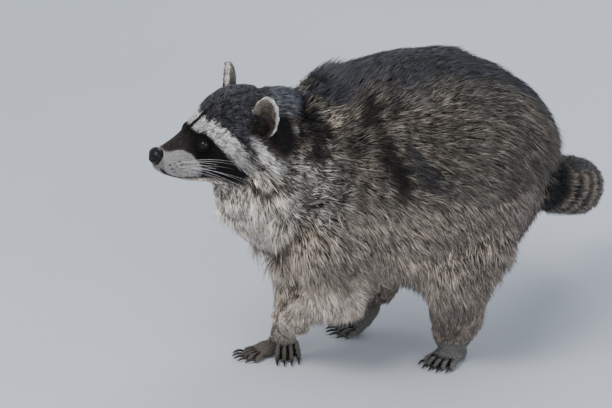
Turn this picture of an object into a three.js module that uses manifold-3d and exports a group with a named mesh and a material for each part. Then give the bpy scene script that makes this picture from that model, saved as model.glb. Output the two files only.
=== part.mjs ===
// A life-size raccoon in its thick winter coat, halfway through a slow step, with its head turned to its left.
// Millimetres. It faces -Y, its left side is +X and +Z is up; the floor is z = 0.
// Every form is a loft: rings round a smooth path, whose half sizes reach the tips of the coat. Head, neck and trunk
// are one form that thin cuts part, and so is each leg. The legs and the tail are let into the trunk.

import * as THREE from "three";
import { mergeVertices } from "three/addons/utils/BufferGeometryUtils.js";
import Module from "manifold-3d";

const wasm = await Module();
wasm.setup();

// ---- driving dimensions --------------------------------------------------------------------

const BACK_HEIGHT = 341; // highest point of the back
const GIRTH_RADIUS = 127; // the barrel of the body, about as wide as it is deep
const EYE_MIDDLE = [7.5, -199, 266]; // midway between the eyes
const EYE_SPACING = 42; // between the centres of the two eyeballs
const EYE_RADIUS = 8.5;
const HEAD_TURN = 9; // degrees, to its left
const HEAD_TILT = 4.5; // degrees, left ear down
const MUZZLE_LENGTH = 54; // from the eyes to the tip of the nose
const CHEEK_HALF_WIDTH = 62;
const EAR_HEIGHT = 48;
const EAR_WIDTH = 34;
const EAR_DEPTH = 9; // from the rim to the back, half of it in the rim
const EAR_WALL = 3;
const EAR_SPREAD = 92; // between the roots of the two ears
const EAR_TURN = 28; // degrees that the open side looks outward
const EAR_LEAN = 15; // degrees
const TAIL_RADIUS = 33;
const TAIL_ROOT_HEIGHT = 184;
const TAIL_SLOPE = 20; // degrees, down from the root
const DIGIT_SHARES = [0.66, 0.93, 1, 0.97, 0.8]; // lengths of the five digits against the middle one
const CLAW_LENGTH = 14; // with the root that is hidden in the digit
const CLAW_HEIGHT = 3; // of the roots of the claws of a foot that stands on the floor
const FLOOR_SINK = -1.5; // the tips of the digits reach below the floor, which trims them to small flats
const GAP = 0.3; // the clearance between two neighbours

const COLOURS = {
  back: 0x4a4541,
  flank: 0x77706a,
  limb: 0x9a8f82,
  foot: 0x8a8178,
  face: 0x6b6663,
  ear: 0xb9b2a6,
  nose: 0x17181b,
  eye: 0x0c0908,
  claw: 0x2b2622,
  tail: 0x57493a,
};

const UP = new THREE.Vector3(0, 0, 1);
const FORWARD = new THREE.Vector3(0, -1, 0);
const radians = THREE.MathUtils.degToRad;

// ---- points --------------------------------------------------------------------------------

function vector(point) {
  return new THREE.Vector3(...point);
}

function mixed(a, b, share) {
  return a.map((value, i) => value + (b[i] - value) * share);
}

function shifted(point, direction, distance) {
  return point.map((value, i) => value + direction[i] * distance);
}

// ---- lofts ---------------------------------------------------------------------------------

// How full a loft is at the share t of its length, when each of its round ends takes the share round.
function fullness(t, round) {
  const along = Math.min(t, 1 - t) / round;
  return along >= 1 ? 1 : Math.sqrt(1 - (1 - along) ** 2);
}

// A closed loft through stations. Each has its centre, at, and its half sizes: sideways, towards top and away from
// top. A sphere gives the rings and the closed ends, and its vertices move out to the stations' sizes.
function loft(stations, { sides, rings, top = UP, round = 0.12 }) {
  const path = new THREE.CatmullRomCurve3(stations.map((station) => vector(station.at)));
  const sizes = new THREE.CatmullRomCurve3(stations.map((station) => vector(station.half)));
  const geometry = new THREE.SphereGeometry(1, sides, rings);
  const places = geometry.attributes.position;
  for (let i = 0; i < places.count; i += 1) {
    const ring = Math.floor(i / (sides + 1));
    const t = (1 - Math.cos((Math.PI * ring) / rings)) / 2;
    const turn = (2 * Math.PI * ((i % (sides + 1)) % sides)) / sides;
    const along = path.getTangent(t);
    const side = new THREE.Vector3().crossVectors(along, top).normalize();
    const above = new THREE.Vector3().crossVectors(side, along);
    const half = sizes.getPoint(t).multiplyScalar(fullness(t, round));
    const lift = Math.sin(turn) * (Math.sin(turn) > 0 ? half.y : half.z);
    const place = path.getPoint(t).addScaledVector(side, Math.cos(turn) * half.x).addScaledVector(above, lift);
    places.setXYZ(i, place.x, place.y, place.z);
  }
  return solid(welded(geometry));
}

function ellipsoid(centre, radii, sides) {
  const geometry = new THREE.SphereGeometry(1, sides, Math.ceil(sides * 0.7));
  geometry.scale(...radii).translate(...centre);
  return solid(welded(geometry));
}

// ---- solids --------------------------------------------------------------------------------

function welded(geometry) {
  geometry.deleteAttribute("normal");
  geometry.deleteAttribute("uv");
  return mergeVertices(geometry, 1e-4);
}

function solid(geometry) {
  const surface = new wasm.Mesh({
    numProp: 3,
    vertProperties: new Float32Array(geometry.attributes.position.array),
    triVerts: new Uint32Array(geometry.index.array),
  });
  return new wasm.Manifold(surface);
}

function geometryOf(body) {
  const mesh = body.getMesh();
  const geometry = new THREE.BufferGeometry();
  geometry.setAttribute("position", new THREE.BufferAttribute(mesh.vertProperties, 3));
  geometry.setIndex(new THREE.BufferAttribute(mesh.triVerts, 1));
  return geometry;
}

// The same solid with its surface moved out by the clearance, for the socket that it is let into.
function grown(body) {
  const geometry = geometryOf(body);
  geometry.computeVertexNormals();
  const { position, normal } = geometry.attributes;
  for (let i = 0; i < position.count; i += 1) {
    position.setXYZ(
      i,
      position.getX(i) + GAP * normal.getX(i),
      position.getY(i) + GAP * normal.getY(i),
      position.getZ(i) + GAP * normal.getZ(i),
    );
  }
  return solid(geometry);
}

function joined(bodies) {
  return bodies.reduce((all, body) => all.add(body));
}

function letInto(host, guests) {
  return guests.reduce((rest, guest) => rest.subtract(grown(guest)), host);
}

function moved(body, matrix) {
  return solid(geometryOf(body).applyMatrix4(matrix));
}

// Parts a solid with a thin cut through a point; the first piece is the one that the normal points to.
function parted(body, { point, normal }) {
  const facing = vector(normal).normalize();
  const offset = facing.dot(vector(point));
  const away = facing.clone().negate();
  return [
    body.trimByPlane(facing.toArray(), offset + GAP / 2),
    body.trimByPlane(away.toArray(), GAP / 2 - offset),
  ];
}

function mesh(name, body, colour, roughness = 0.9) {
  const material = new THREE.MeshStandardMaterial({ color: colour, roughness, metalness: 0, flatShading: true });
  const made = new THREE.Mesh(geometryOf(body), material);
  made.name = name;
  return made;
}

// ---- trunk, neck and tail ------------------------------------------------------------------

function trunkForm() {
  const r = GIRTH_RADIUS;
  const axis = BACK_HEIGHT - r;
  const stations = [
    { at: [0, -128, axis - 14], half: [62, 68, 70] },
    { at: [0, -95, axis - 16], half: [88, 92, 92] },
    { at: [0, -50, axis - 12], half: [106, 112, 112] },
    { at: [0, 0, axis - 3], half: [119, 121, 126] },
    { at: [0, 55, axis], half: [r, r, r] },
    { at: [0, 108, axis - 6], half: [122, 116, 118] },
    { at: [0, 152, axis - 16], half: [104, 90, 98] },
    { at: [0, 187, axis - 26], half: [76, 58, 66] },
  ];
  return loft(stations, { sides: 20, rings: 16, round: 0.1 });
}

function neckForm() {
  const stations = [
    { at: [0, -62, 196], half: [88, 98, 92] },
    { at: [0, -95, 206], half: [86, 103, 81] },
    { at: [2, -122, 222], half: [78, 96, 71] },
    { at: [5, -148, 242], half: [66, 79, 56] },
    { at: [8, -172, 252], half: [48, 56, 38] },
  ];
  return loft(stations, { sides: 20, rings: 12, round: 0.2 });
}

// The tail leaves the rump backward, then turns to the animal's right and hangs a little. A station has its place on
// the floor plan, the run of tail behind it, which sets its fall, and its share of the full radius.
function tailForm() {
  const stations = [
    [0, 160, 0, 0.8],
    [-14, 196, 32, 1],
    [-60, 232, 90, 1.04],
    [-114, 263, 152, 1.05],
    [-168, 289, 212, 1],
    [-210, 303, 258, 0.76],
  ].map(([x, y, run, share]) => ({
    at: [x, y, TAIL_ROOT_HEIGHT - run * Math.tan(radians(TAIL_SLOPE))],
    half: [TAIL_RADIUS * share, TAIL_RADIUS * share, TAIL_RADIUS * share],
  }));
  return loft(stations, { sides: 14, rings: 14, round: 0.12 });
}

// ---- head, in its own frame: midway between the eyes, -Y forward -----------------------------

function skullForm() {
  const m = MUZZLE_LENGTH;
  const c = CHEEK_HALF_WIDTH;
  const stations = [
    { at: [0, 4 - m, -16], half: [9, 8, 8.5] },
    { at: [0, 9 - m, -17.5], half: [13, 11.5, 12] },
    { at: [0, 17 - m, -19], half: [16, 15, 18] },
    { at: [0, 27 - m, -18], half: [17.5, 18, 27] },
    { at: [0, -15, -16], half: [20, 23, 32] },
    { at: [0, -3, -14], half: [28, 31, 36] },
    { at: [0, 11, -13], half: [43, 43, 40] },
    { at: [0, 27, -12], half: [c - 6, 54, 43] },
    { at: [0, 45, -10], half: [c, 59, 47] },
    { at: [0, 65, -6], half: [c - 4, 57, 50] },
    { at: [0, 87, -2], half: [c - 14, 48, 46] },
  ];
  return loft(stations, { sides: 20, rings: 18, round: 0.07 });
}

function noseForm() {
  return ellipsoid([0, 7.5 - MUZZLE_LENGTH, -14.5], [10.5, 8.5, 9.5], 10);
}

function eyeForm(side) {
  return ellipsoid([(side * EYE_SPACING) / 2, 0, 0], [EYE_RADIUS, EYE_RADIUS, EYE_RADIUS], 10);
}

// A cupped ear, open to the front: a smaller ellipsoid is taken out of the outer one.
function earForm(side) {
  const half = EAR_WIDTH / 2;
  const reach = EAR_HEIGHT * 0.55;
  const outer = ellipsoid([0, 0, EAR_HEIGHT - reach], [half, EAR_DEPTH, reach], 11);
  const hollow = [half - EAR_WALL, EAR_DEPTH, reach - EAR_WALL];
  const cup = ellipsoid([0, -EAR_DEPTH * 0.55, EAR_HEIGHT - reach], hollow, 9);
  const place = new THREE.Matrix4()
    .makeTranslation((side * EAR_SPREAD) / 2, 53, 13)
    .multiply(new THREE.Matrix4().makeRotationZ(radians(side * EAR_TURN)))
    .multiply(new THREE.Matrix4().makeRotationY(radians(side * EAR_LEAN)));
  return moved(outer.subtract(cup), place);
}

// ---- limbs ---------------------------------------------------------------------------------

// The stations and the foot of each leg, from the shoulder or hip down. half is sideways, forward and backward.
// A foot's heading is in degrees from straight ahead towards the animal's left.
const LEGS = [
  {
    limb: "fore",
    side: 1,
    stations: [
      { at: [58, -78, 200], half: [44, 56, 50] },
      { at: [70, -72, 150], half: [40, 44, 42] },
      { at: [70, -62, 108], half: [33, 34, 38] },
      { at: [46, -80, 76], half: [25, 24, 30] },
      { at: [22, -98, 50], half: [17, 16, 18] },
      { at: [16, -103, 36], half: [14, 12, 13] },
    ],
    foot: { heel: [17, -102, 46], ball: [14, -105, 30], tips: [14, -106, FLOOR_SINK], heading: 75, thumbLift: 26 },
  },
  {
    limb: "fore",
    side: -1,
    stations: [
      { at: [-58, -78, 200], half: [44, 56, 50] },
      { at: [-66, -78, 150], half: [40, 44, 42] },
      { at: [-58, -74, 105], half: [33, 32, 34] },
      { at: [-42, -84, 66], half: [23, 21, 24] },
      { at: [-25, -93, 34], half: [16, 15, 16] },
      { at: [-16, -106, 6], half: [13, 14, 13] },
    ],
    foot: { heel: [-16, -104, 10], ball: [-13, -126, 7], tips: [-10, -148, FLOOR_SINK], heading: 6, thumbLift: 0 },
  },
  {
    limb: "hind",
    side: 1,
    stations: [
      { at: [56, 112, 205], half: [52, 60, 60] },
      { at: [74, 84, 160], half: [50, 64, 58] },
      { at: [74, 72, 120], half: [42, 50, 46] },
      { at: [64, 74, 84], half: [33, 37, 36] },
      { at: [56, 77, 54], half: [26, 29, 29] },
      { at: [51, 74, 34], half: [21, 23, 24] },
      { at: [51, 72, 6], half: [17, 17, 19] },
    ],
    foot: { heel: [45, 90, 9], ball: [58, 64, 8], tips: [74, 44, FLOOR_SINK], heading: 40, thumbLift: 0 },
  },
  {
    limb: "hind",
    side: -1,
    stations: [
      { at: [-56, 112, 205], half: [52, 60, 60] },
      { at: [-76, 80, 160], half: [50, 64, 58] },
      { at: [-74, 48, 118], half: [42, 46, 44] },
      { at: [-65, 28, 84], half: [32, 33, 32] },
      { at: [-57, 22, 62], half: [25, 24, 25] },
      { at: [-52, 19, 48], half: [20, 19, 20] },
      { at: [-51, 15, 34], half: [16, 15, 16] },
    ],
    foot: { heel: [-50, 20, 40], ball: [-53, -4, 7], tips: [-57, -31, FLOOR_SINK], heading: -6, thumbLift: 0 },
  },
];

const FEET = {
  fore: { halfWidth: 14, thick: 10, digit: 27, splay: 1.2, cuts: [2.2, 4], names: ["upperarm", "forearm", "forepaw"] },
  hind: { halfWidth: 18, thick: 11, digit: 31, splay: 1.1, cuts: [2.3, 5.1], names: ["thigh", "shank", "hindfoot"] },
};

// A foot: its body from the heel to the ball, and five digits from the ball to the floor. Digit 1 is the inner one.
function footForm({ heel, ball, tips, heading, thumbLift }, { halfWidth, thick, digit, splay }, side) {
  const ahead = [Math.sin(radians(heading)), -Math.cos(radians(heading)), 0];
  const across = [-side * ahead[1], side * ahead[0], 0];
  const top = vector(ahead).add(UP);
  const stations = [
    { at: heel, half: [halfWidth * 0.66, thick, thick] },
    { at: mixed(heel, ball, 0.5), half: [halfWidth * 0.8, thick * 0.95, thick * 0.9] },
    { at: ball, half: [halfWidth, thick * 0.75, thick * 0.8] },
    { at: mixed(ball, tips, 0.3), half: [halfWidth * 0.9, thick * 0.45, thick * 0.5] },
  ];
  const flesh = [loft(stations, { sides: 10, rings: 6, top, round: 0.3 })];
  const claws = [];
  DIGIT_SHARES.forEach((share, i) => {
    const place = ((i - 2) / 2) * halfWidth;
    const fat = thick * 0.36;
    const from = shifted(ball, across, place * 0.8);
    const line = shifted(tips, ahead, digit * (share - 1));
    const at = shifted(shifted(line, across, place * splay), [0, 0, 1], i === 0 ? thumbLift : 0);
    const knuckle = shifted(mixed(from, at, 0.55), [0, 0, 1], thick * 0.2);
    const stops = [from, knuckle, at].map((centre) => ({ at: centre, half: [fat, fat, fat] }));
    flesh.push(loft(stops, { sides: 6, rings: 4, top, round: 0.3 }));
    claws.push(clawForm(mixed(knuckle, at, 0.6).with(2, Math.max(at[2], CLAW_HEIGHT)), ahead));
  });
  return { flesh: joined(flesh), claws };
}

// A curved claw that grows out of the tip of a digit and comes down to the level of its sole.
function clawForm(root, ahead) {
  const stations = [
    { at: root, half: [2, 2.2, 1.9] },
    { at: shifted(shifted(root, ahead, CLAW_LENGTH * 0.55), [0, 0, 1], 1), half: [1.6, 2, 1.8] },
    { at: shifted(shifted(root, ahead, CLAW_LENGTH), [0, 0, 1], -1.8), half: [0.7, 0.8, 0.8] },
  ];
  return loft(stations, { sides: 5, rings: 4, round: 0.3 });
}

// The whole leg as one form, and the meshes of its three lengths and five claws.
function legPieces({ limb, side, stations, foot }) {
  const shape = FEET[limb];
  const column = loft(stations, { sides: 12, rings: 11, top: FORWARD, round: 0.12 });
  const { flesh, claws } = footForm(foot, shape, side);
  const whole = joined([column, flesh]).trimByPlane([0, 0, 1], 0);
  const path = new THREE.CatmullRomCurve3(stations.map((station) => vector(station.at)));
  const [joint, ankle] = shape.cuts.map((cut) => {
    const t = cut / (stations.length - 1);
    return { point: path.getPoint(t).toArray(), normal: UP.clone().sub(path.getTangent(t)).toArray() };
  });
  const [upper, rest] = parted(whole, joint);
  const [lower, end] = parted(rest, ankle);
  const sideName = side > 0 ? "left" : "right";
  const name = (part) => `${part}_${sideName}`;
  const meshes = [
    mesh(name(shape.names[0]), upper, COLOURS.flank),
    mesh(name(shape.names[1]), lower, COLOURS.limb),
    mesh(name(shape.names[2]), letInto(end, claws), COLOURS.foot),
    ...claws.map((claw, i) => mesh(name(`claw_${limb}_${i + 1}`), claw, COLOURS.claw, 0.35)),
  ];
  return { whole, meshes };
}

// ---- assembly ------------------------------------------------------------------------------

const HEAD_CUT = { point: [4, -134, 256], normal: [0.1, -0.81, 0.57] };
const NECK_CUT = { point: [0, -106, 231], normal: [0, -0.9, 0.435] };
const TAIL_CUTS = [
  { point: [-70, 236, 150], normal: [0.85, -0.45, 0.32] },
  { point: [-134, 269, 122], normal: [0.85, -0.4, 0.32] },
];

const head = new THREE.Group();
head.position.set(...EYE_MIDDLE);
head.rotation.set(0, radians(HEAD_TILT), radians(HEAD_TURN), "ZYX");
head.updateMatrixWorld(true);
const toHead = head.matrixWorld.clone().invert();

const legs = LEGS.map(legPieces);
const tail = tailForm();
const core = joined([moved(skullForm(), head.matrixWorld), neckForm(), trunkForm()]);
const torso = letInto(core, [...legs.map((leg) => leg.whole), tail]);
const [headForm, behindHead] = parted(torso, HEAD_CUT);
const [neck, trunk] = parted(behindHead, NECK_CUT);
const [tailBase, tailRest] = parted(tail, TAIL_CUTS[0]);
const [tailMiddle, tailTip] = parted(tailRest, TAIL_CUTS[1]);

const nose = noseForm();
const eyes = [eyeForm(1), eyeForm(-1)];
const headFlesh = moved(headForm, toHead);
const ears = [earForm(1), earForm(-1)].map((ear) => letInto(ear, [headFlesh]));
head.add(
  mesh("head", letInto(headFlesh, [nose, ...eyes]), COLOURS.face),
  mesh("nose", nose, COLOURS.nose, 0.4),
  mesh("eye_left", eyes[0], COLOURS.eye, 0.08),
  mesh("eye_right", eyes[1], COLOURS.eye, 0.08),
  mesh("ear_left", ears[0], COLOURS.ear),
  mesh("ear_right", ears[1], COLOURS.ear),
);

const raccoon = new THREE.Group();
raccoon.add(
  head,
  mesh("neck", neck, COLOURS.flank),
  mesh("trunk", trunk, COLOURS.back),
  mesh("tail_base", tailBase, COLOURS.tail),
  mesh("tail_middle", tailMiddle, COLOURS.tail),
  mesh("tail_tip", tailTip, COLOURS.tail),
  ...legs.flatMap((leg) => leg.meshes),
);

// The origin is on the floor, in the middle of the outline seen from above.
const extent = new THREE.Box3().setFromObject(raccoon, true);
const middle = extent.getCenter(new THREE.Vector3());
raccoon.position.set(-middle.x, -middle.y, -extent.min.z);

export default raccoon;
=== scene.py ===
"""A life-size raccoon in its winter coat: skin, coat, eyes, nose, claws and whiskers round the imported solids.

Sizes are in millimetres in the body's frame or the head's, and meshes are in metres in the row's frame.
The body's frame has its origin on the floor under the withers, -Y is forward, +X is the animal's left and
+Z is up. The head's frame has its origin midway between the eyes, and is turned and tilted with the head.
"""

import logging
import math
from dataclasses import dataclass, field
from enum import Enum
from functools import partial

import bmesh
import bpy
import numpy as np
from mathutils import Matrix, Vector
from mathutils.bvhtree import BVHTree


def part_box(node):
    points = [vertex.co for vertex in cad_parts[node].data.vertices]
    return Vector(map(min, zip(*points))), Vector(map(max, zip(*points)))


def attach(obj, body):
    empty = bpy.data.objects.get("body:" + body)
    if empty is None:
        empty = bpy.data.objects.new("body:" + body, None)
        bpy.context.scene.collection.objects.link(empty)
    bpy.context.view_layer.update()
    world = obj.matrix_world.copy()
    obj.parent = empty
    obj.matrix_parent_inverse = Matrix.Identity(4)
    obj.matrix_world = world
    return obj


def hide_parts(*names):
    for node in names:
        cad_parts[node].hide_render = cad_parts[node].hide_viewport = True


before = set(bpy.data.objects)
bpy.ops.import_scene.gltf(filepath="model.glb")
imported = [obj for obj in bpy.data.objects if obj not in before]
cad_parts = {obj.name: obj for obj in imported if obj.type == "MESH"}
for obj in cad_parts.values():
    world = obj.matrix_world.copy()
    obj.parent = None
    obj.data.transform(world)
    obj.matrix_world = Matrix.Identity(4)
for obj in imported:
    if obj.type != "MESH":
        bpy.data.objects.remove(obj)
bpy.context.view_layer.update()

Array = np.ndarray
Piece = bpy.types.Object
Mesh = bpy.types.Mesh
Material = bpy.types.Material
Socket = bpy.types.NodeSocket
Pair = tuple[float, float]
Triple = tuple[float, float, float]
LOG = logging.getLogger("raccoon")
MM = 0.001
TINY = 1e-9
BODY = "root"
SIDES = {1: "left", -1: "right"}
DOWN = np.array([0.0, 0.0, -1.0])
MIRROR = np.array([-1.0, 1.0, 1.0])
TRUNK_REAR = 192.61  # the rearmost point of the trunk, behind the body's origin
TINT = "coat_tint"
STRAND = "coat_strand"
GAZE_ANGLE = "gaze_angle"
BAKE_MAP = "OFBake"
MAP_PATCH = 0.003  # side of a lock's patch on the coat's map
FLOOR_GAP = 0.2  # how far the coat stays above the floor
SKIN_GAP = 0.3  # how far the skin does
WELD = 0.01
# The waves of a ripple: pace, how far and how fast the next axis warps it, and what the seed does to both.
WAVES = ((0.91, 1.7, 0.63, 1.0, 1.3), (1.07, 1.5, 0.71, 2.1, 1.0), (0.97, 1.9, 0.57, -1.0, -0.7))
SCATTER = np.array([12.9898, 78.233, 37.719])  # with the next two, turns a cell's number into a random one
SCATTER_SEED = 19.19
SCATTER_STRETCH = 43758.5453


# ---- small numeric helpers ----


def unit(vectors: Array) -> Array:
    """Returns the vectors with length one."""
    return vectors / np.maximum(np.linalg.norm(vectors, axis=-1, keepdims=True), TINY)


def step(values: Array, low: float, high: float) -> Array:
    """A smooth step from 0 at low to 1 at high; low may be the larger one."""
    share = np.clip((values - low) / (high - low), 0.0, 1.0)
    return share * share * (3.0 - 2.0 * share)


def bell(*axes: tuple[Array, float, float]) -> Array:
    """A smooth bump from 0 to 1, from each axis's values, the bump's middle and its reach there."""
    return np.exp(-sum(((values - middle) / reach) ** 2 for values, middle, reach in axes))


def between(ends: Pair, share: Array) -> Array:
    """Values from the first end to the second, by a share for each."""
    return ends[0] + (ends[1] - ends[0]) * share


def plain(colour: tuple[float, ...], count: int) -> Array:
    """A colour field of one colour."""
    return np.tile(np.array(colour), (count, 1))


def blended(first: Array, second: tuple | Array, share: Array) -> Array:
    """Mixes two colour fields by a share for each point."""
    return first + (np.asarray(second) - first) * share[:, None]


def layered(colour: Array, *layers: tuple[Triple, Array]) -> Array:
    """Lays colours over a colour field in turn, each with a share for each point."""
    for hue, share in layers:
        colour = blended(colour, hue, share)
    return colour


def covered(edges: tuple[tuple, ...], at: dict[str, Array]) -> Array:
    """How full a mark is at points, from its edges: a measure, where it begins and where it is full."""
    return math.prod(step(at[name], begins, full) for name, begins, full in edges)


def washed(colour: Array, washes: tuple[tuple, ...], at: dict[str, Array]) -> Array:
    """Lays soft colours over a colour field in turn, each with its hue, strength and edges."""
    return layered(colour, *((hue, covered(edges, at) * strength) for hue, strength, *edges in washes))


def ripple(points: Array, size: float, seed: float = 0.0) -> Array:
    """Smooth irregular values from about -1 to 1.

    Args:
        points: places in millimetres.
        size: length of the waves in millimetres.
        seed: shifts the pattern.
    """
    axes = (points * (2 * math.pi / size)).T
    total = np.zeros(len(points))
    for axis, (pace, warp, warp_pace, warp_seed, own_seed) in enumerate(WAVES):
        warped = warp * np.sin(axes[(axis + 1) % 3] * warp_pace + seed * warp_seed)
        total += np.sin(axes[axis] * pace + warped + seed * own_seed)
    return total / len(WAVES)


def chance(cells: Array, seed: float) -> Array:
    """A repeatable random number from 0 to 1 for each cell of a lattice."""
    wave = np.sin(cells @ SCATTER + seed * SCATTER_SEED) * SCATTER_STRETCH
    return wave - np.floor(wave)


def line_distance(points: Array, line: list[tuple[float, ...]]) -> tuple[Array, Array]:
    """Distance of points from a broken line, and the share of its length at the nearest place.

    Args:
        points: places, in as many dimensions as the line.
        line: the line's corners.

    Returns:
        The distances and the shares from 0 at the line's start to 1 at its end.
    """
    corners = np.asarray(line, float)
    lengths = np.linalg.norm(np.diff(corners, axis=0), axis=1)
    starts = np.concatenate([[0.0], np.cumsum(lengths)])
    best = np.full(len(points), np.inf)
    where = np.zeros(len(points))
    for i, length in enumerate(lengths):
        along = (corners[i + 1] - corners[i]) / length
        run = np.clip((points - corners[i]) @ along, 0.0, length)
        away = np.linalg.norm(points - corners[i] - run[:, None] * along, axis=1)
        nearer = away < best
        best = np.where(nearer, away, best)
        where = np.where(nearer, starts[i] + run, where)
    return best, where / starts[-1]


def inside_depth(points: Array, outline: list[Pair]) -> Array:
    """Distance from an outline in a plane, positive inside it and negative outside."""
    away, _ = line_distance(points, [*outline, outline[0]])
    corners = np.asarray(outline, float)
    inside = np.zeros(len(points), bool)
    for a, b in zip(corners, np.roll(corners, -1, axis=0)):
        crosses = (a[1] > points[:, 1]) != (b[1] > points[:, 1])
        rise = np.where(abs(b[1] - a[1]) < TINY, TINY, b[1] - a[1])
        at = (b[0] - a[0]) * (points[:, 1] - a[1]) / rise + a[0]
        inside ^= crosses & (points[:, 0] < at)
    return np.where(inside, away, -away)


# ---- the two frames ----


class Places:
    """The body's and the head's frames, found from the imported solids."""

    def __init__(self) -> None:
        """Reads the boxes of the trunk and of the eyes."""
        low, high = (np.array(corner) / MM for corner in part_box("trunk"))
        self.body_origin = np.array([(low[0] + high[0]) / 2, high[1] - TRUNK_REAR, 0.0])
        self.eyes = {side: self.centre(f"eye_{word}") for side, word in SIDES.items()}
        left, right = self.eyes.values()
        self.head_origin = (left + right) / 2
        across = unit(left - right)
        back = unit(np.cross(-DOWN, across))
        self.head_axes = np.array([across, back, np.cross(across, back)])

    def centre(self, node: str) -> Array:
        """Returns the middle of a solid's box, in the body's frame."""
        low, high = (np.array(corner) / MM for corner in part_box(node))
        return (low + high) / 2 - self.body_origin

    def to_body(self, metres: Array) -> Array:
        """Turns places of a mesh into the body's frame."""
        return metres / MM - self.body_origin

    def to_metres(self, body: Array) -> Array:
        """Turns places in the body's frame into those of a mesh."""
        return (body + self.body_origin) * MM

    def to_head(self, body: Array) -> Array:
        """Turns places in the body's frame into the head's frame."""
        return (body - self.head_origin) @ self.head_axes.T

    def from_head(self, head: Array) -> Array:
        """Turns places in the head's frame into the body's frame."""
        return np.asarray(head, float) @ self.head_axes + self.head_origin

    def turned(self, direction: Array) -> Array:
        """Turns a direction in the head's frame into the body's frame."""
        return np.asarray(direction, float) @ self.head_axes


PLACES = Places()


# ---- the parts of the body ----


class Region(Enum):
    """The parts of the body whose coats differ. The value is the stem of the solids' names."""

    HEAD = "head"
    EAR = "ear"
    NECK = "neck"
    TRUNK = "trunk"
    TAIL = "tail"
    UPPERARM = "upperarm"
    FOREARM = "forearm"
    FOREPAW = "forepaw"
    THIGH = "thigh"
    SHANK = "shank"
    HINDFOOT = "hindfoot"


PAWS = (Region.FOREPAW, Region.HINDFOOT)
CORE = (Region.NECK, Region.TRUNK)
LIMBS = {
    "fore": (Region.UPPERARM, Region.FOREARM, Region.FOREPAW),
    "hind": (Region.THIGH, Region.SHANK, Region.HINDFOOT),
}

CLAWS = np.array([PLACES.centre(node) for node in sorted(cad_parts) if node.startswith("claw_")])


def from_claws(body: Array) -> Array:
    """Distance of places from the middle of the nearest claw."""
    return np.min([np.linalg.norm(body - claw, axis=1) for claw in CLAWS], axis=0)


def region_of(node: str) -> Region:
    """Returns the part of the body that a solid belongs to."""
    return Region(node.split("_")[0])


def side_of(node: str) -> int:
    """Returns -1 for a solid on the right, and 1 for one on the left or in the middle."""
    return -1 if node.endswith("right") else 1


FLESH = sorted(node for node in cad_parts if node.split("_")[0] in {region.value for region in Region})
LIE_BLEND = 60.0  # square millimetres within which a known lie rules alone
PAW_HANG = 1.3  # how much the hair of the lower limbs hangs, next to its way along them


# How the coat lies at places: x, y, z, the way the hair points (x, y, z), its thickness and a lock's length.
# One side of the head, in its own frame; the other side mirrors it.
HEAD_LIES = (
    (0, -44, -6, 0, 1, 0.3, 0.9, 2.6), (0, -28, 1, 0, 1, 0.45, 1.1, 3.4),
    (0, -12, 10, 0, 1, 0.6, 1.6, 4.5), (0, 4, 27, 0, 0.8, 0.75, 2.6, 7.5),
    (0, 22, 42, 0, 0.95, 0.45, 4.5, 12), (0, 50, 51, 0, 1, 0.08, 6, 16),
    (0, 80, 46, 0, 1, -0.1, 8, 22), (30, 5, 17, 0.35, 0.9, 0.2, 2.2, 7),
    (45, 20, 12, 0.3, 0.9, -0.1, 3.5, 10), (35, 40, 42, 0.3, 0.9, 0.1, 5, 13),
    (14, -32, -14, 0.15, 0.95, -0.25, 1.0, 3.2), (13, -38, -26, 0.2, 0.85, -0.5, 1.0, 3.2),
    (19, -14, -6, 0.25, 0.95, -0.1, 1.2, 3.6), (20, -12, -26, 0.3, 0.85, -0.45, 1.5, 5),
    (31, 2, -14, 0.35, 0.85, -0.35, 1.8, 6), (44, 14, -20, 0.4, 0.75, -0.45, 4, 12),
    (55, 28, -8, 0.35, 0.8, -0.4, 6, 17), (60, 45, -12, 0.25, 0.75, -0.6, 9, 23),
    (57, 40, -38, 0.2, 0.55, -0.8, 10, 26), (36, 18, -44, 0.2, 0.6, -0.8, 6, 17),
    (0, -34, -38, 0, 0.9, -0.4, 1.2, 4), (0, -14, -46, 0, 0.85, -0.5, 2.5, 8),
    (0, 12, -54, 0, 0.7, -0.7, 7, 20), (62, 68, 14, 0.25, 0.8, -0.5, 5, 14),
    (44, 50, 26, 0.25, 0.9, 0.3, 2, 12), (50, 60, 8, 0.3, 0.85, -0.3, 2.5, 12),
    (56, 85, -10, 0.1, 0.75, -0.65, 10, 26),
)

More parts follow.
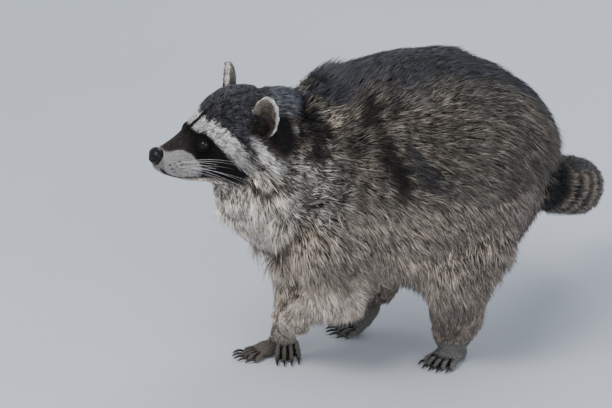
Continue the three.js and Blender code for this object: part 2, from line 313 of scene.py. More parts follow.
# One side of the neck and trunk, in the body's frame; the other side mirrors it.
BODY_LIES = (
    (0, -105, 318, 0, 1, 0.15, 14, 30), (0, -80, 320, 0, 1, 0.1, 15, 34),
    (0, -50, 330, 0, 1, 0.05, 14, 36), (0, 50, 341, 0, 1, -0.05, 16, 42),
    (0, 130, 315, 0, 0.85, -0.5, 17, 44), (0, 185, 240, 0, 0.1, -1, 16, 38),
    (0, 180, 170, 0, -0.4, -1, 15, 34), (55, 165, 155, 0, -0.4, -1, 14, 32),
    (60, -110, 290, 0.1, 1, -0.1, 12, 26), (75, -115, 245, 0.05, 1, -0.2, 13, 28),
    (60, -145, 205, 0, 0.45, -0.95, 13, 30), (88, -80, 235, 0, 1, -0.15, 13, 30),
    (97, -50, 195, 0, 0.9, -0.45, 13, 32), (85, -50, 290, -0.1, 0.9, 0.3, 13, 30),
    (48, -20, 322, -0.5, 0.8, 0.35, 13, 32), (105, -10, 250, 0, 1, -0.2, 14, 32),
    (90, 50, 300, -0.1, 1, 0, 14, 34), (58, 55, 328, -0.35, 0.9, 0.15, 14, 34),
    (112, 40, 258, 0, 0.93, -0.35, 14, 34), (127, 50, 215, 0, 0.76, -0.65, 15, 36),
    (110, 110, 260, 0, 0.88, -0.45, 15, 36), (115, 125, 200, 0, 0.45, -0.88, 15, 38),
    (80, 165, 200, -0.1, -0.05, -1, 15, 36), (105, 100, 150, 0, 0.15, -1, 16, 42),
    (118, 20, 160, 0, 0.62, -0.78, 15, 38), (100, -25, 150, 0, 0.6, -0.78, 16, 44),
    (95, -35, 122, 0, 0.38, -0.92, 16, 50), (60, -40, 105, 0, 0.12, -1, 16, 52),
    (90, 10, 112, 0, 0.4, -0.9, 15, 42), (50, 10, 95, 0, 0.45, -0.9, 14, 42),
    (0, 20, 88, 0, 0.8, -0.6, 14, 40), (0, 110, 98, 0, 0.8, -0.6, 14, 40),
    (0, -172, 205, 0, 0.35, -0.95, 12, 24), (0, -160, 172, 0, 0.7, -0.75, 12, 26),
    (45, -150, 160, 0, 0.6, -0.8, 12, 28), (0, -110, 130, 0, 0.7, -0.7, 13, 34),
)


@dataclass(frozen=True)
class LimbCoat:
    """The coat of one length of a limb, from its lower end to its upper one.

    Depth and length change between the two heights, which are distances from the paw where by_paw is set, and
    the hair swings backward.
    """

    depth: Pair
    length: Pair
    heights: Pair = (0.0, 1.0)
    by_paw: bool = False
    backward: float = 0.0


LIMB_COATS = {
    Region.UPPERARM: LimbCoat((10, 12), (28, 32), (90, 150), backward=0.75),
    Region.FOREARM: LimbCoat((2.4, 8), (7, 24), (0, 50), by_paw=True, backward=0.1),
    Region.FOREPAW: LimbCoat((1.1, 2.4), (3.6, 7), (22, 44)),
    Region.THIGH: LimbCoat((11, 14), (28, 36), (90, 150), backward=0.3),
    Region.SHANK: LimbCoat((3.2, 10), (9, 28), (0, 55), by_paw=True, backward=0.12),
    Region.HINDFOOT: LimbCoat((1.3, 3.2), (4, 9), (26, 50)),
    Region.TAIL: LimbCoat((15, 15), (25, 25)),
    Region.EAR: LimbCoat((0.5, 0.5), (2.6, 2.6)),
}


def interpolated(points: Array, lies: tuple[tuple, ...]) -> Array:
    """The coat's way, depth and length at points, from the nearest of the places where they are known.

    Args:
        points: places in the frame of the lies.
        lies: one side's places.

    Returns:
        Five numbers for each point: the way the hair points, the depth and the length.
    """
    rows = np.array(lies, float)
    rows = np.concatenate([rows, rows[rows[:, 0] > 1] * np.array([*MIRROR, *MIRROR, 1, 1])])
    square = ((points[:, None, :] - rows[None, :, :3]) ** 2).sum(2)
    weight = 1.0 / (square + LIE_BLEND) ** 2
    weight /= weight.sum(1, keepdims=True)
    return np.concatenate([weight @ unit(rows[:, 3:6]), weight @ rows[:, 6:].copy()], axis=1)


class Anatomy:
    """Says which part of the body a place is on, and how the coat lies there."""

    def __init__(self) -> None:
        """Makes the search trees of the solids of flesh and of the paws."""
        self.tree, self.face_node = self.tree_of(FLESH)
        self.paw_tree, _ = self.tree_of([node for node in FLESH if region_of(node) in PAWS])
        self.ways = self.limb_ways()

    @staticmethod
    def tree_of(nodes: list[str]) -> tuple[BVHTree, list[str]]:
        """Makes a search tree of solids, with the solid that each face belongs to."""
        points, faces, owners = [], [], []
        for node in nodes:
            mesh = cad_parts[node].data
            start = len(points)
            points += [vertex.co.copy() for vertex in mesh.vertices]
            faces += [[start + i for i in polygon.vertices] for polygon in mesh.polygons]
            owners += [node] * len(mesh.polygons)
        return BVHTree.FromPolygons(points, faces), owners

    def limb_ways(self) -> dict[tuple[Region, int], Array]:
        """Which way each length of each limb points, from the middles of its solids."""
        ways = {}
        for side, word in SIDES.items():
            for limb, (upper, lower, foot) in LIMBS.items():
                middles = [PLACES.centre(f"{part.value}_{word}") for part in (upper, lower, foot)]
                claws = np.mean([PLACES.centre(f"claw_{limb}_{i}_{word}") for i in (2, 3, 4)], axis=0)
                ways[upper, side] = unit(unit(middles[1] - middles[0]) + DOWN)
                ways[lower, side] = unit(middles[2] - middles[1])
                ways[foot, side] = unit(claws - middles[2])
        return ways

    def look_up(self, metres: Array) -> tuple[Array, Array]:
        """Region and side for each place of a mesh, from the nearest solid."""
        regions, sides = [], []
        for place in metres:
            node = self.face_node[self.tree.find_nearest(Vector(place))[2]]
            regions.append(region_of(node))
            sides.append(side_of(node))
        return np.array(regions, object), np.array(sides)

    def from_paws(self, body: Array) -> Array:
        """Distance of places from the nearest solid of a paw."""
        metres = PLACES.to_metres(body)
        return np.array([self.paw_tree.find_nearest(Vector(place))[3] for place in metres]) / MM

    def lies(self, body: Array, regions: Array, sides: Array) -> Array:
        """The coat's way, depth and length at places on the body.

        Args:
            body: places in the body's frame.
            regions: the part of the body at each place.
            sides: 1 on a left solid or one in the middle, and -1 on a right one.

        Returns:
            Five numbers for each place.
        """
        found = np.zeros((len(body), 5))
        head = regions == Region.HEAD
        found[head] = interpolated(PLACES.to_head(body[head]), HEAD_LIES)
        found[head, :3] = PLACES.turned(found[head, :3])
        core = np.isin(regions, CORE)
        found[core] = interpolated(body[core], BODY_LIES)
        for region, coat in LIMB_COATS.items():
            for side in SIDES:
                chosen = (regions == region) & (sides == side)
                if not chosen.any():
                    continue
                if region is Region.TAIL:
                    way = TAIL.ways(body[chosen])
                elif region is Region.EAR:
                    way = np.tile(PLACES.turned(EARS[side].up), (chosen.sum(), 1))
                else:
                    way = np.tile(self.ways[region, side] + [0, coat.backward, 0], (chosen.sum(), 1))
                measure = self.from_paws(body[chosen]) if coat.by_paw else body[chosen][:, 2]
                rise = step(measure, *coat.heights)
                if coat.by_paw:
                    way = way + PAW_HANG * DOWN * (1 - rise)[:, None]
                found[chosen, :3] = unit(way)
                found[chosen, 3] = between(coat.depth, rise)
                found[chosen, 4] = between(coat.length, rise)
        return found


# ---- tail and ears ----


class Tail:
    """The line that the tail follows, and where a place is along it."""

    slope = 20.0  # degrees, down from the root
    root_height = 184.0
    plan = ((0, 160, 0), (-14, 196, 32), (-60, 232, 90), (-114, 263, 152), (-168, 289, 212), (-210, 303, 258))
    look = 20.0  # how far before and behind a place its way is taken

    def __init__(self) -> None:
        """Works out the line's corners and how far along it each lies."""
        fall = math.tan(math.radians(self.slope))
        self.line = np.array([(x, y, self.root_height - run * fall) for x, y, run in self.plan])
        self.runs = np.concatenate([[0.0], np.cumsum(np.linalg.norm(np.diff(self.line, axis=0), axis=1))])

    def run(self, body: Array) -> Array:
        """Distance of places from the root, along the tail."""
        _, share = line_distance(body, self.line)
        return share * self.runs[-1]

    def at(self, run: Array, axis: int) -> Array:
        """One coordinate of the line at distances from the root."""
        return np.interp(run, self.runs, self.line[:, axis])

    def ways(self, body: Array) -> Array:
        """The way the tail points at places."""
        here = self.run(body)
        ahead, behind = here + self.look, here - self.look
        return unit(np.stack([self.at(ahead, axis) - self.at(behind, axis) for axis in range(3)], axis=1))


@dataclass(frozen=True)
class Ear:
    """A cupped ear in the head's frame: its root, turn and lean, its size, and its mouth in its own frame."""

    side: int
    spread: float = 92.0
    behind: float = 53.0
    above: float = 13.0
    turn: float = 28.0
    lean: float = 15.0
    height: float = 48.0
    half_width: float = 17.0
    widest: float = 0.45  # share of the height
    mouth_half: float = 10.5
    mouth_height: float = 10.0
    mouth_reach: float = 9.0
    mouth_front: Pair = (-19, -12)
    mouth_back: Pair = (4, -1)

    @property
    def axes(self) -> Array:
        """Rows: across the ear, towards its back, and up it."""
        turn = Matrix.Rotation(math.radians(self.side * self.turn), 3, "Z")
        lean = Matrix.Rotation(math.radians(self.side * self.lean), 3, "Y")
        return np.array((turn @ lean).transposed())

    @property
    def up(self) -> Array:
        """The way the ear points, in the head's frame."""
        return self.axes[2]

    def local(self, head: Array) -> Array:
        """Turns places in the head's frame into the ear's."""
        root = np.array([self.side * self.spread / 2, self.behind, self.above])
        return (head - root) @ self.axes.T

    def out(self, ear: Array) -> Array:
        """How far places in the ear's frame are from its middle, where 1 is its outline."""
        middle, reach = self.widest * self.height, (1 - self.widest) * self.height
        return np.hypot(ear[:, 0] / self.half_width, (ear[:, 2] - middle) / reach)

    def hollow(self, head: Array) -> Array:
        """How far places on the head lie in the mouth of the ear, from 0 to 1."""
        x, y, z = self.local(head).T
        mouth = bell((x, 0, self.mouth_half), (z, self.mouth_height, self.mouth_reach))
        return mouth * step(y, *self.mouth_back) * step(y, *self.mouth_front)


TAIL = Tail()
EARS = {side: Ear(side) for side in SIDES}


# ---- markings ----


class Hue:
    """The coat's colours, linear."""

    black = (0.01, 0.008, 0.009)
    mask = (0.009, 0.007, 0.007)
    charcoal = (0.038, 0.037, 0.041)
    topline = (0.04, 0.042, 0.05)
    back = (0.122, 0.104, 0.085)
    band = (0.014, 0.011, 0.01)
    pale_band = (0.36, 0.31, 0.235)
    nape = (0.105, 0.113, 0.13)
    neck = (0.25, 0.23, 0.208)
    flank = (0.34, 0.284, 0.232)
    belly = (0.545, 0.458, 0.372)
    fringe = (0.7, 0.605, 0.51)
    chest = (0.65, 0.59, 0.52)
    forearm = (0.69, 0.59, 0.49)
    shank = (0.345, 0.285, 0.235)
    haunch = (0.232, 0.188, 0.158)
    foot = (0.235, 0.208, 0.175)
    hindfoot = (0.3, 0.285, 0.27)
    white = (0.74, 0.7, 0.66)
    muzzle = (0.64, 0.59, 0.56)
    cream = (0.76, 0.69, 0.6)
    bridge = (0.06, 0.05, 0.045)
    cheek = (0.6, 0.52, 0.44)
    jaw = (0.7, 0.62, 0.54)
    brown = (0.08, 0.056, 0.04)
    # painted shadow under the jaw
    jaw_shadow = (0.052, 0.037, 0.027)
    ear_in = (0.06, 0.042, 0.03)
    ear_hair = (0.4, 0.34, 0.28)
    # painted shade in the hollow of the ear
    ear_dark = (0.018, 0.013, 0.011)
    ear_rim = (0.9, 0.87, 0.82)
    tail_pale = (0.27, 0.2, 0.135)
    tail_dark = (0.008, 0.007, 0.007)


@dataclass(frozen=True)
class Stroke:
    """A soft stroke on both sides of the head, along a line of (y, z) in its frame.

    It begins and is full at two distances from the line (edge) and from the middle plane (across), and at
    two shares of the line (end).
    """

    line: tuple[Pair, ...]
    hue: Triple
    strength: float
    edge: Pair
    across: Pair
    plainness: float = 0.0  # how much of the grizzle it takes away
    widening: float = 0.0
    end: Pair = (2.0, 1.0)

    def share(self, rough: Array, across: Array) -> Array:
        """How full the stroke is at places seen from the side, from 0 to 1."""
        away, run = line_distance(rough, self.line)
        on = step(away - self.widening * run, *self.edge) * step(run, *self.end)
        return on * step(across, *self.across)


@dataclass(frozen=True)
class Disc:
    """A soft round mark on both sides, seen from the side: its middle (y, z) and edges as in a stroke."""

    middle: Pair
    edge: Pair
    across: Pair = (-2.0, -1.0)
    squash: Pair = (1.0, 1.0)
    strength: float = 1.0

    def share(self, points: Array, ragged: Array | float = 0.0) -> Array:
        """How full the mark is at places, up to its strength, with its edge made ragged."""
        along, up = ((points[:, 1:] - self.middle) * self.squash).T
        on = step(np.hypot(along, up) + ragged, *self.edge) * step(np.abs(points[:, 0]), *self.across)
        return on * self.strength


class BodyMarks:
    """The marks of neck, trunk and legs, in the body's frame.

    An edge names a measure, and its values where the mark begins and where it is full. The measures are y, z,
    across (from the middle plane), high (z, ragged), crest and nape (high, less further out), ridge (across,
    ragged) and low (high, shifted fore and aft).
    """

    ripples = ((90, 1.0), (34, 4.0), (15, 9.0))  # size and seed of the wide, the fine and the small waves
    ragged = (10.0, 6.0, 4.0)  # how far each of these shifts the marks' edges
    clumps = (0.18, 0.1, 0.34)  # how much each of these lightens the coat
    tan = (0.0, 0.04, 0.09)  # what the small waves take from each colour channel
    crest_fall = 0.35
    nape_fall = 0.2
    ridge_ragged = 8.0
    low_shift = (6.0, -14.0)  # at the rear and at the front
    rear = (("y", 60, 150),)
    front = (("y", -20, -80),)
    crest = (("crest", 280, 314),)
    rump_ridge = (("y", 105, 135), ("z", 165, 200), ("ridge", 46, 20))
    topline_strength = 0.9
    saddle = ((Hue.back, 1.0, ("high", 175, 225)),)
    haunch = (("high", 235, 190),)
    belly = (("low", 164, 118),)
    belly_rear = (("y", 70, 120),)
    belly_rear_loss = 0.55
    outer = (("across", 50, 80),)
    # Dusky places: middle and reach along y and z, strength, and whether on the outside of the body alone.
    dusks = ((-72, 24, 138, 24, 1.0, True), (80, 42, 115, 36, 0.9, True), (168, 26, 180, 36, 0.9, False))
    dusk_strength = 0.55
    washes = (
        (Hue.fringe, 0.9, ("high", 124, 104), ("y", 30, 0)),
        (Hue.neck, 0.9, ("y", -45, -85), ("high", 275, 240), ("high", 165, 205)),
        (Hue.chest, 0.9, ("y", -112, -140), ("high", 242, 212)),
        (Hue.nape, 0.85, ("y", -60, -85), ("nape", 268, 292)),
        (Hue.forearm, 1.0, ("high", 125, 85), ("y", 20, -20)),
        (Hue.shank, 1.0, ("high", 118, 78), ("y", -20, 20)),
    )
    grizzle = 1.35
    plainness = 0.6  # of the belly and of the topline
    # Dark and pale bands over the shoulder: (y, z), half width, colour and strength.
    bands = (
        ([(-94, 302), (-84, 296), (-80, 288), (-79, 277), (-80, 262), (-81, 238)], 11, Hue.band, 0.95),
        ([(-80, 306), (-72, 301), (-64, 296), (-56, 284)], 4.5, Hue.pale_band, 0.85),
        ([(-60, 316), (-50, 312), (-40, 306)], 9, Hue.topline, 0.8),
        ([(-38, 309), (-28, 299), (-17, 278), (-8, 252), (-5, 228), (2, 205)], 10, Hue.band, 0.88),
        ([(-6, 306), (8, 304)], 9, Hue.band, 0.65),
        ([(4, 272), (14, 252), (26, 232), (36, 214)], 10, Hue.topline, 0.6),
        ([(-44, 262), (-40, 240), (-36, 215)], 6, Hue.pale_band, 0.3),
    )
    band_ragged = (0.0, 6.0, 5.0)
    band_edge = (1.5, 0.3)  # shares of the half width
    band_start = (0.0, 0.1)
    band_end = (1.0, 0.75)
    band_across = (6, 22)
    band_plainness = 0.75
    pale_from = 0.3  # sum of a pale hue's channels
    shoulder = Disc((-44, 270), (20, 9), (40, 60), strength=0.5)
    shoulder_ragged = 4.0


class HeadMarks:
    """The marks of the head, in its own frame.

    The measures are x (from the middle plane), y, z, temple, cheek and jaw (z, ragged), parting (x, ragged)
    and lip (the distance from the line of the lips).
    """

    ripples = ((11, 2.0), (26, 5.0))  # size and seed of the fine and the soft waves
    ragged = (1.3, 1.1)  # how far these shift outlines along y and z
    heights = {"temple": (0, 5), "cheek": (0, 4), "jaw": (2, 0)}  # how far they shift each height
    parting_ragged = 1.2
    washes = (
        (Hue.neck, 0.75, ("temple", 12, -10), ("y", 24, 44)),
        (Hue.cheek, 1.0, ("cheek", -14, -30), ("y", 22, 38)),
        (Hue.jaw, 1.0, ("jaw", -33, -42), ("y", 45, 10)),
        (Hue.cream, 0.8, ("z", -44, -54)),
    )
    grizzle = (1.2, 2.3)
    crown = (("z", -5, 15),)
    brow_line = ((-6, 17.5), (3, 19.5), (9, 16), (17, 8), (25, -3), (34, -16), (41, -25))
    brow_half = (3.5, 6.5, 8.0, 8.5, 8.5, 8.0, 5.0)
    brow_ragged = 2.6
    brow_edge = (3.4, -3.0)
    brow_across = (1.5, 4.0)
    brow_fading = (0.4, 0.9)
    brow_loss = 0.55
    brow_plainness = 0.6
    strokes = (
        Stroke(((40, -20), (52, -24), (62, -30)), Hue.brown, 0.3, (5, 1), (40, 52)),
        Stroke(
            ((42, 15), (47, 4), (54, -6), (62, -16), (66, -24)), Hue.white, 0.9, (6.5, 3.0), (38, 48),
            plainness=0.6, widening=2.0, end=(1, 0.6),
        ),
        # Painted shadow: a dark line under the jaw, between the cheek's ruff and the throat.
        Stroke(
            ((12, -38), (28, -38), (35, -37), (44, -40), (54, -44), (62, -37), (71, -32)), Hue.jaw_shadow, 0.88,
            (7, 2), (26, 38), plainness=0.572,
        ),
    )
    ear_patch = Disc((71, 17), (21, 14), (38, 48), (0.95, 0.8))
    ear_patch_ragged = 2.0
    ear_patch_plainness = 0.85
    ear_core = Disc((70, 18), (19, 12), squash=(1.0, 0.85), strength=0.97)
    ear_spot = Disc((90, 18), (7, 4), (45, 52))
    ear_spot_strength = 0.65
    # how strongly the mouth of each ear is darkened as painted shade
    ear_hollow = 1.6
    muzzle = (("y", -2, -9), ("z", -2, -6))
    muzzle_plainness = 0.8
    # The dark mask with the bridge of the nose, seen from the side: (y, z).
    mask_outline = (
        (-50, -7), (-40, -6.5), (-30, -5.5), (-22, -5), (-14, -9.5), (-8.5, -18), (-1, -27), (9, -34),
        (20, -37.5), (30, -35), (37, -27), (29, -20), (19, -10), (12, -1), (5, 8), (-1, 12), (-7, 12.5),
        (-11, 17), (-30, 10), (-50, 4),
    )
    mask_edge = (-1.1, 1.1)
    mask_plainness = 0.7
    bridge = (("y", -8, -24),)
    parting = ((Hue.black, 1.0, ("parting", 4.2, 2.2), ("y", 24, 14), ("y", -20, -12), ("z", 5, 10)),)
    lip_line = ((-44, -27), (-38.5, -33), (-31, -38), (-20, -40.5), (-10, -40), (-3, -38), (4, -36))
    mouth = (
        (Hue.jaw, 0.8, ("z", -36, -40), ("y", 2, -6)),
        (Hue.black, 0.92, ("lip", 2.3, 1.0), ("y", 6, 2)),
        (Hue.bridge, 0.5, ("y", -40, -45), ("z", -30, -24)),
    )
    spots = (
        (-37, -20), (-32, -18.5), (-27, -17), (-35, -24.5), (-29.5, -23), (-24, -21.5), (-32, -29),
        (-26, -27.5),
    )
    spot_edge = (1.7, 0.7)
    spot_across = (4, 7)
    spot_strength = 0.9
    cover = (("y", 82, 66),)


class EarMarks:
    """The marks of an ear, in its own frame.

    The measures are x and thick (from its middle planes), y, z, tuft (from the middle of the tuft) and out (1
    at its outline).
    """

    tuft_middle = -8.0
    rim = (("out", 0.88, 0.95), ("z", 2, 10), ("thick", 12, 8))
    grizzled = (("z", 16, 36),)
    grizzled_strength = 0.3
    ripple = (9, 7.0)  # size and seed
    ripple_strength = 0.25
    tuft = (("out", 0.35, 0.75), ("z", 14, 24), ("tuft", 13, 6))
    tuft_strength = 0.9
    # painted shade at the bottom of the ear's cup, near its middle
    depth = ((Hue.ear_dark, 1.0, ("z", 25, 10), ("x", 11, 5)),)
    back = ((Hue.neck, 0.9, ("z", 16, 34)),)
    cup = (("y", 1.0, -1.5),)
    cup_floor = (("out", 0.8, 0.7), ("y", 5, 3))
    grizzle = 0.6


class TailMarks:
    """The marks of the tail, by the distance along it."""

    ripple = (30, 3.0)  # size and seed
    ragged = 2.5
    rings = ((36, 12), (75, 10), (121, 13), (176, 14), (228, 14))  # middle and half width
    ring_edge = (1.3, 0.95)  # shares of the half width
    tip = (("run", 256, 264),)
    ridge = (("above", 8, 20),)
    ridge_strength = 0.9
    root = ((Hue.haunch, 0.8, ("run", 16, 6)),)
    grizzle = (0.55, 0.25)  # between the rings and on them


class PawMarks:
    """The marks of the paws, in the body's frame."""

    hind = (("y", -60, -30),)
    upper = (("z", 14, 48),)
    grizzle = 0.3


class Markings:
    """Colour and grizzle of the coat, worked out from the place alone, so that skin and coat agree."""

    def coat(self, body: Array, regions: Array, sides: Array) -> Array:
        """Colour and grizzle at places on the body.

        Args:
            body: places in the body's frame.
            regions: the part of the body at each place.
            sides: the side of the solid at each place.

        Returns:
            Red, green, blue and grizzle for each place.
        """
        found = np.ones((len(body), 4))
        found[:, :3], found[:, 3] = self.trunk(body)
        near_head = np.isin(regions, [Region.HEAD, Region.NECK])
        if near_head.any():
            face, grizzle, cover = self.head(PLACES.to_head(body[near_head]))
            found[near_head, :3] = blended(found[near_head, :3], face, cover)
            found[near_head, 3] += (grizzle - found[near_head, 3]) * cover
        ears = regions == Region.EAR
        own = [(ears & (sides == side), partial(self.ear, EARS[side])) for side in SIDES]
        own += [(regions == Region.TAIL, self.tail), (np.isin(regions, PAWS), self.paw)]
        for chosen, paint in own:
            if chosen.any():
                found[chosen, :3], found[chosen, 3] = paint(body[chosen])
        return found

    def trunk(self, body: Array) -> tuple[Array, Array]:
        """Colour and grizzle of neck, trunk and legs."""
        marks = BodyMarks
        x, y, z = body.T
        across = np.abs(x)
        waves = np.array([ripple(body, size, seed) for size, seed in marks.ripples])
        high = z + marks.ragged @ waves
        at = {"y": y, "z": z, "across": across, "high": high}
        rear, front, outer = (covered(edges, at) for edges in (marks.rear, marks.front, marks.outer))
        at["crest"] = high - marks.crest_fall * across
        at["nape"] = high - marks.nape_fall * across
        at["ridge"] = across + marks.ridge_ragged * waves[1]
        at["low"] = high + marks.low_shift[0] * rear + marks.low_shift[1] * front
        top = np.maximum(covered(marks.crest, at), covered(marks.rump_ridge, at))
        colour = washed(plain(Hue.flank, len(body)), marks.saddle, at)
        haunch = rear * covered(marks.haunch, at) * (1 - top)
        belly = covered(marks.belly, at) * (1 - marks.belly_rear_loss * covered(marks.belly_rear, at))
        strong = top * marks.topline_strength
        colour = layered(colour, (Hue.topline, strong), (Hue.haunch, haunch), (Hue.belly, belly))
        dusk = np.zeros(len(body))
        for along, along_reach, up, up_reach, strength, outside in marks.dusks:
            here = bell((y, along, along_reach), (z, up, up_reach)) * strength
            dusk = np.maximum(dusk, here * outer if outside else here)
        colour = washed(colour * (1 - marks.dusk_strength * dusk)[:, None], marks.washes, at)
        grizzle = marks.grizzle - marks.plainness * (belly + top)
        for line, half, hue, strength in marks.bands:
            away, share = line_distance(body[:, 1:], line)
            on = step(away + marks.band_ragged @ waves, half * marks.band_edge[0], half * marks.band_edge[1])
            on = on * step(share, *marks.band_start) * step(share, *marks.band_end)
            on = on * step(across, *marks.band_across) * strength
            colour = blended(colour, hue, on)
            if sum(hue) < marks.pale_from:
                grizzle = grizzle * (1 - marks.band_plainness * on)
        shoulder = marks.shoulder.share(body, marks.shoulder_ragged * waves[1])
        colour = blended(colour, Hue.band, shoulder)
        clumps = 1 + marks.clumps @ waves
        tan = np.array(marks.tan) * np.maximum(-waves[2], 0)[:, None]
        return colour * (clumps[:, None] - tan), grizzle

    def head(self, head: Array) -> tuple[Array, Array, Array]:
        """Colour and grizzle of the head, and how far they hold on the neck behind it."""
        marks = HeadMarks
        x, y, z = head.T
        across = np.abs(x)
        waves = np.array([ripple(head, size, seed) for size, seed in marks.ripples])
        rough = head[:, 1:] + (waves * np.array(marks.ragged)[:, None]).T
        at = {"x": across, "y": y, "z": z}
        at |= {name: z + shift @ waves for name, shift in marks.heights.items()}
        at["parting"] = across + marks.parting_ragged * np.abs(waves[0])
        at["lip"] = line_distance(head[:, 1:], marks.lip_line)[0]
        colour = washed(plain(Hue.charcoal, len(head)), marks.washes, at)
        grizzle = between(marks.grizzle, covered(marks.crown, at))
        away, share = line_distance(rough, marks.brow_line)
        half = np.interp(share, np.linspace(0, 1, len(marks.brow_half)), marks.brow_half)
        brow = step(away - half + marks.brow_ragged * waves[0], *marks.brow_edge)
        brow = brow * step(across, *marks.brow_across)
        colour = blended(colour, Hue.white, brow * (1 - marks.brow_loss * step(share, *marks.brow_fading)))
        grizzle = grizzle * (1 - marks.brow_plainness * brow)
        for stroke in marks.strokes:
            on = stroke.share(rough, across)
            colour = blended(colour, stroke.hue, on * stroke.strength)
            grizzle = grizzle * (1 - stroke.plainness * on)
        patch = marks.ear_patch.share(head, marks.ear_patch_ragged * waves[1])
        spot = marks.ear_spot.share(head)
        colour = layered(
            colour, (Hue.brown, patch), (Hue.black, patch * marks.ear_core.share(head)),
            (Hue.cream, spot * marks.ear_spot_strength),
        )
        grizzle = grizzle * (1 - marks.ear_patch_plainness * patch)
        # Painted shade in the mouth of each ear.
        for ear in EARS.values():
            colour = blended(colour, Hue.ear_dark, np.minimum(ear.hollow(head) * marks.ear_hollow, 1))
        muzzle = covered(marks.muzzle, at)
        mask = step(inside_depth(rough, marks.mask_outline), *marks.mask_edge)
        bridge = mask * covered(marks.bridge, at)
        colour = layered(colour, (Hue.muzzle, muzzle), (Hue.mask, mask), (Hue.bridge, bridge))
        colour = washed(colour, (*marks.parting, *marks.mouth), at)
        grizzle = grizzle * (1 - marks.muzzle_plainness * muzzle) * (1 - marks.mask_plainness * mask)
        for middle in marks.spots:
            dot = Disc(middle, marks.spot_edge, marks.spot_across, strength=marks.spot_strength)
            colour = blended(colour, Hue.mask, dot.share(head))
        return colour, grizzle, np.maximum(covered(marks.cover, at), np.maximum(spot, patch))

    def ear(self, shape: Ear, body: Array) -> tuple[Array, float]:
        """Colour and grizzle of an ear."""
        marks = EarMarks
        ear = shape.local(PLACES.to_head(body))
        x, y, z = ear.T
        at = {"x": np.abs(x), "y": y, "z": z, "thick": np.abs(y), "out": shape.out(ear)}
        at["tuft"] = np.abs(x - marks.tuft_middle)
        grizzled = covered(marks.grizzled, at) * marks.grizzled_strength
        grizzled = grizzled + marks.ripple_strength * ripple(ear, *marks.ripple)
        tuft = covered(marks.tuft, at) * marks.tuft_strength
        cup = blended(plain(Hue.ear_in, len(ear)), Hue.ear_hair, np.clip(np.maximum(grizzled, tuft), 0, 1))
        cup = washed(cup, marks.depth, at)
        colour = washed(plain(Hue.charcoal, len(ear)), marks.back, at)
        colour = blended(colour, cup, np.maximum(covered(marks.cup, at), covered(marks.cup_floor, at)))
        return blended(colour, Hue.ear_rim, covered(marks.rim, at)), marks.grizzle

    def tail(self, body: Array) -> tuple[Array, Array]:
        """Colour and grizzle of the tail, with its rings, dark ridge and dark tip."""
        marks = TailMarks
        run = TAIL.run(body) + marks.ragged * ripple(body, *marks.ripple)
        at = {"run": run, "above": body[:, 2] - TAIL.at(run, 2)}
        ring = np.maximum(covered(marks.tip, at), covered(marks.ridge, at) * marks.ridge_strength)
        begins, full = marks.ring_edge
        for middle, half in marks.rings:
            ring = np.maximum(ring, step(np.abs(run - middle), half * begins, half * full))
        colour = blended(plain(Hue.tail_pale, len(body)), Hue.tail_dark, ring)
        return washed(colour, marks.root, at), between(marks.grizzle, ring)

    def paw(self, body: Array) -> tuple[Array, float]:
        """Colour and grizzle of the paws."""
        at = {"y": body[:, 1], "z": body[:, 2]}
        hind = covered(PawMarks.hind, at)
        lower = blended(plain(Hue.foot, len(body)), Hue.hindfoot, hind)
        upper = blended(plain(Hue.forearm, len(body)), Hue.shank, hind)
        return blended(lower, upper, covered(PawMarks.upper, at)), PawMarks.grizzle


MARKINGS = Markings()


# ---- meshes ----


def linked(name: str, data: bpy.types.ID) -> Piece:
    """Makes an object for a mesh, a camera or a light, and links it to the scene."""
    data.name = name
    piece = bpy.data.objects.new(name, data)
    bpy.context.scene.collection.objects.link(piece)
    return piece


def baked(piece: Piece) -> Mesh:
    """Removes an object and returns its mesh with the modifiers applied."""
    graph = bpy.context.evaluated_depsgraph_get()
    mesh = bpy.data.meshes.new_from_object(piece.evaluated_get(graph))
    bpy.data.objects.remove(piece)
    return mesh


def array_of(collection: bpy.types.bpy_prop_collection, name: str, width: int) -> Array:
    """Reads one property of a mesh's elements as an array."""
    values = np.empty(len(collection) * width, np.float32)
    collection.foreach_get(name, values)
    return values.reshape(-1, width).astype(float)


def places_of(mesh: Mesh) -> tuple[Array, Array, Array]:
    """A mesh's vertices in metres and in the body's frame, and its normals."""
    metres = array_of(mesh.vertices, "co", 3)
    return metres, PLACES.to_body(metres), array_of(mesh.vertex_normals, "vector", 3)


def store(mesh: Mesh, name: str, kind: str, field_name: str, values: Array) -> None:
    """Keeps values at each vertex of a mesh, as an attribute."""
    layer = mesh.attributes.new(name, kind, "POINT")
    layer.data.foreach_set(field_name, values.astype(np.float32).ravel())


def moved_to(mesh: Mesh, metres: Array) -> None:
    """Moves a mesh's vertices."""
    mesh.vertices.foreach_set("co", metres.astype(np.float32).ravel())
    mesh.update()


def finished(shape: bmesh.types.BMesh, name: str) -> Mesh:
    """Turns an edited shape into a new mesh, and frees it."""
    mesh = bpy.data.meshes.new(name)
    shape.to_mesh(mesh)
    shape.free()
    return mesh


def merged_solids(nodes: list[str], grow: float) -> Mesh:
    """One mesh of copies of solids, each grown a little so that neighbours overlap.

    Args:
        nodes: names of the solids.
        grow: how far each surface moves out, in millimetres.
    """
    whole = bmesh.new()
    for node in nodes:
        part = bmesh.new()
        part.from_mesh(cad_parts[node].data)
        bmesh.ops.remove_doubles(part, verts=part.verts, dist=WELD * MM)
        part.normal_update()
        for vertex in part.verts:
            vertex.co += vertex.normal * grow * MM
        copy = finished(part, node)
        whole.from_mesh(copy)
        bpy.data.meshes.remove(copy)
    return finished(whole, "solids")


def remeshed(mesh: Mesh, voxel: float, smoothing: int) -> Mesh:
    """One even closed surface round a mesh.

    Args:
        mesh: closed parts that may overlap.
        voxel: size of the new faces, in millimetres.
        smoothing: rounds of smoothing.
    """
    piece = linked("work", mesh)
    even = piece.modifiers.new("even", "REMESH")
    even.mode = "VOXEL"
    even.voxel_size = voxel * MM
    if smoothing:
        smooth = piece.modifiers.new("smooth", "SMOOTH")
        smooth.factor = 0.5
        smooth.iterations = smoothing
    return baked(piece)


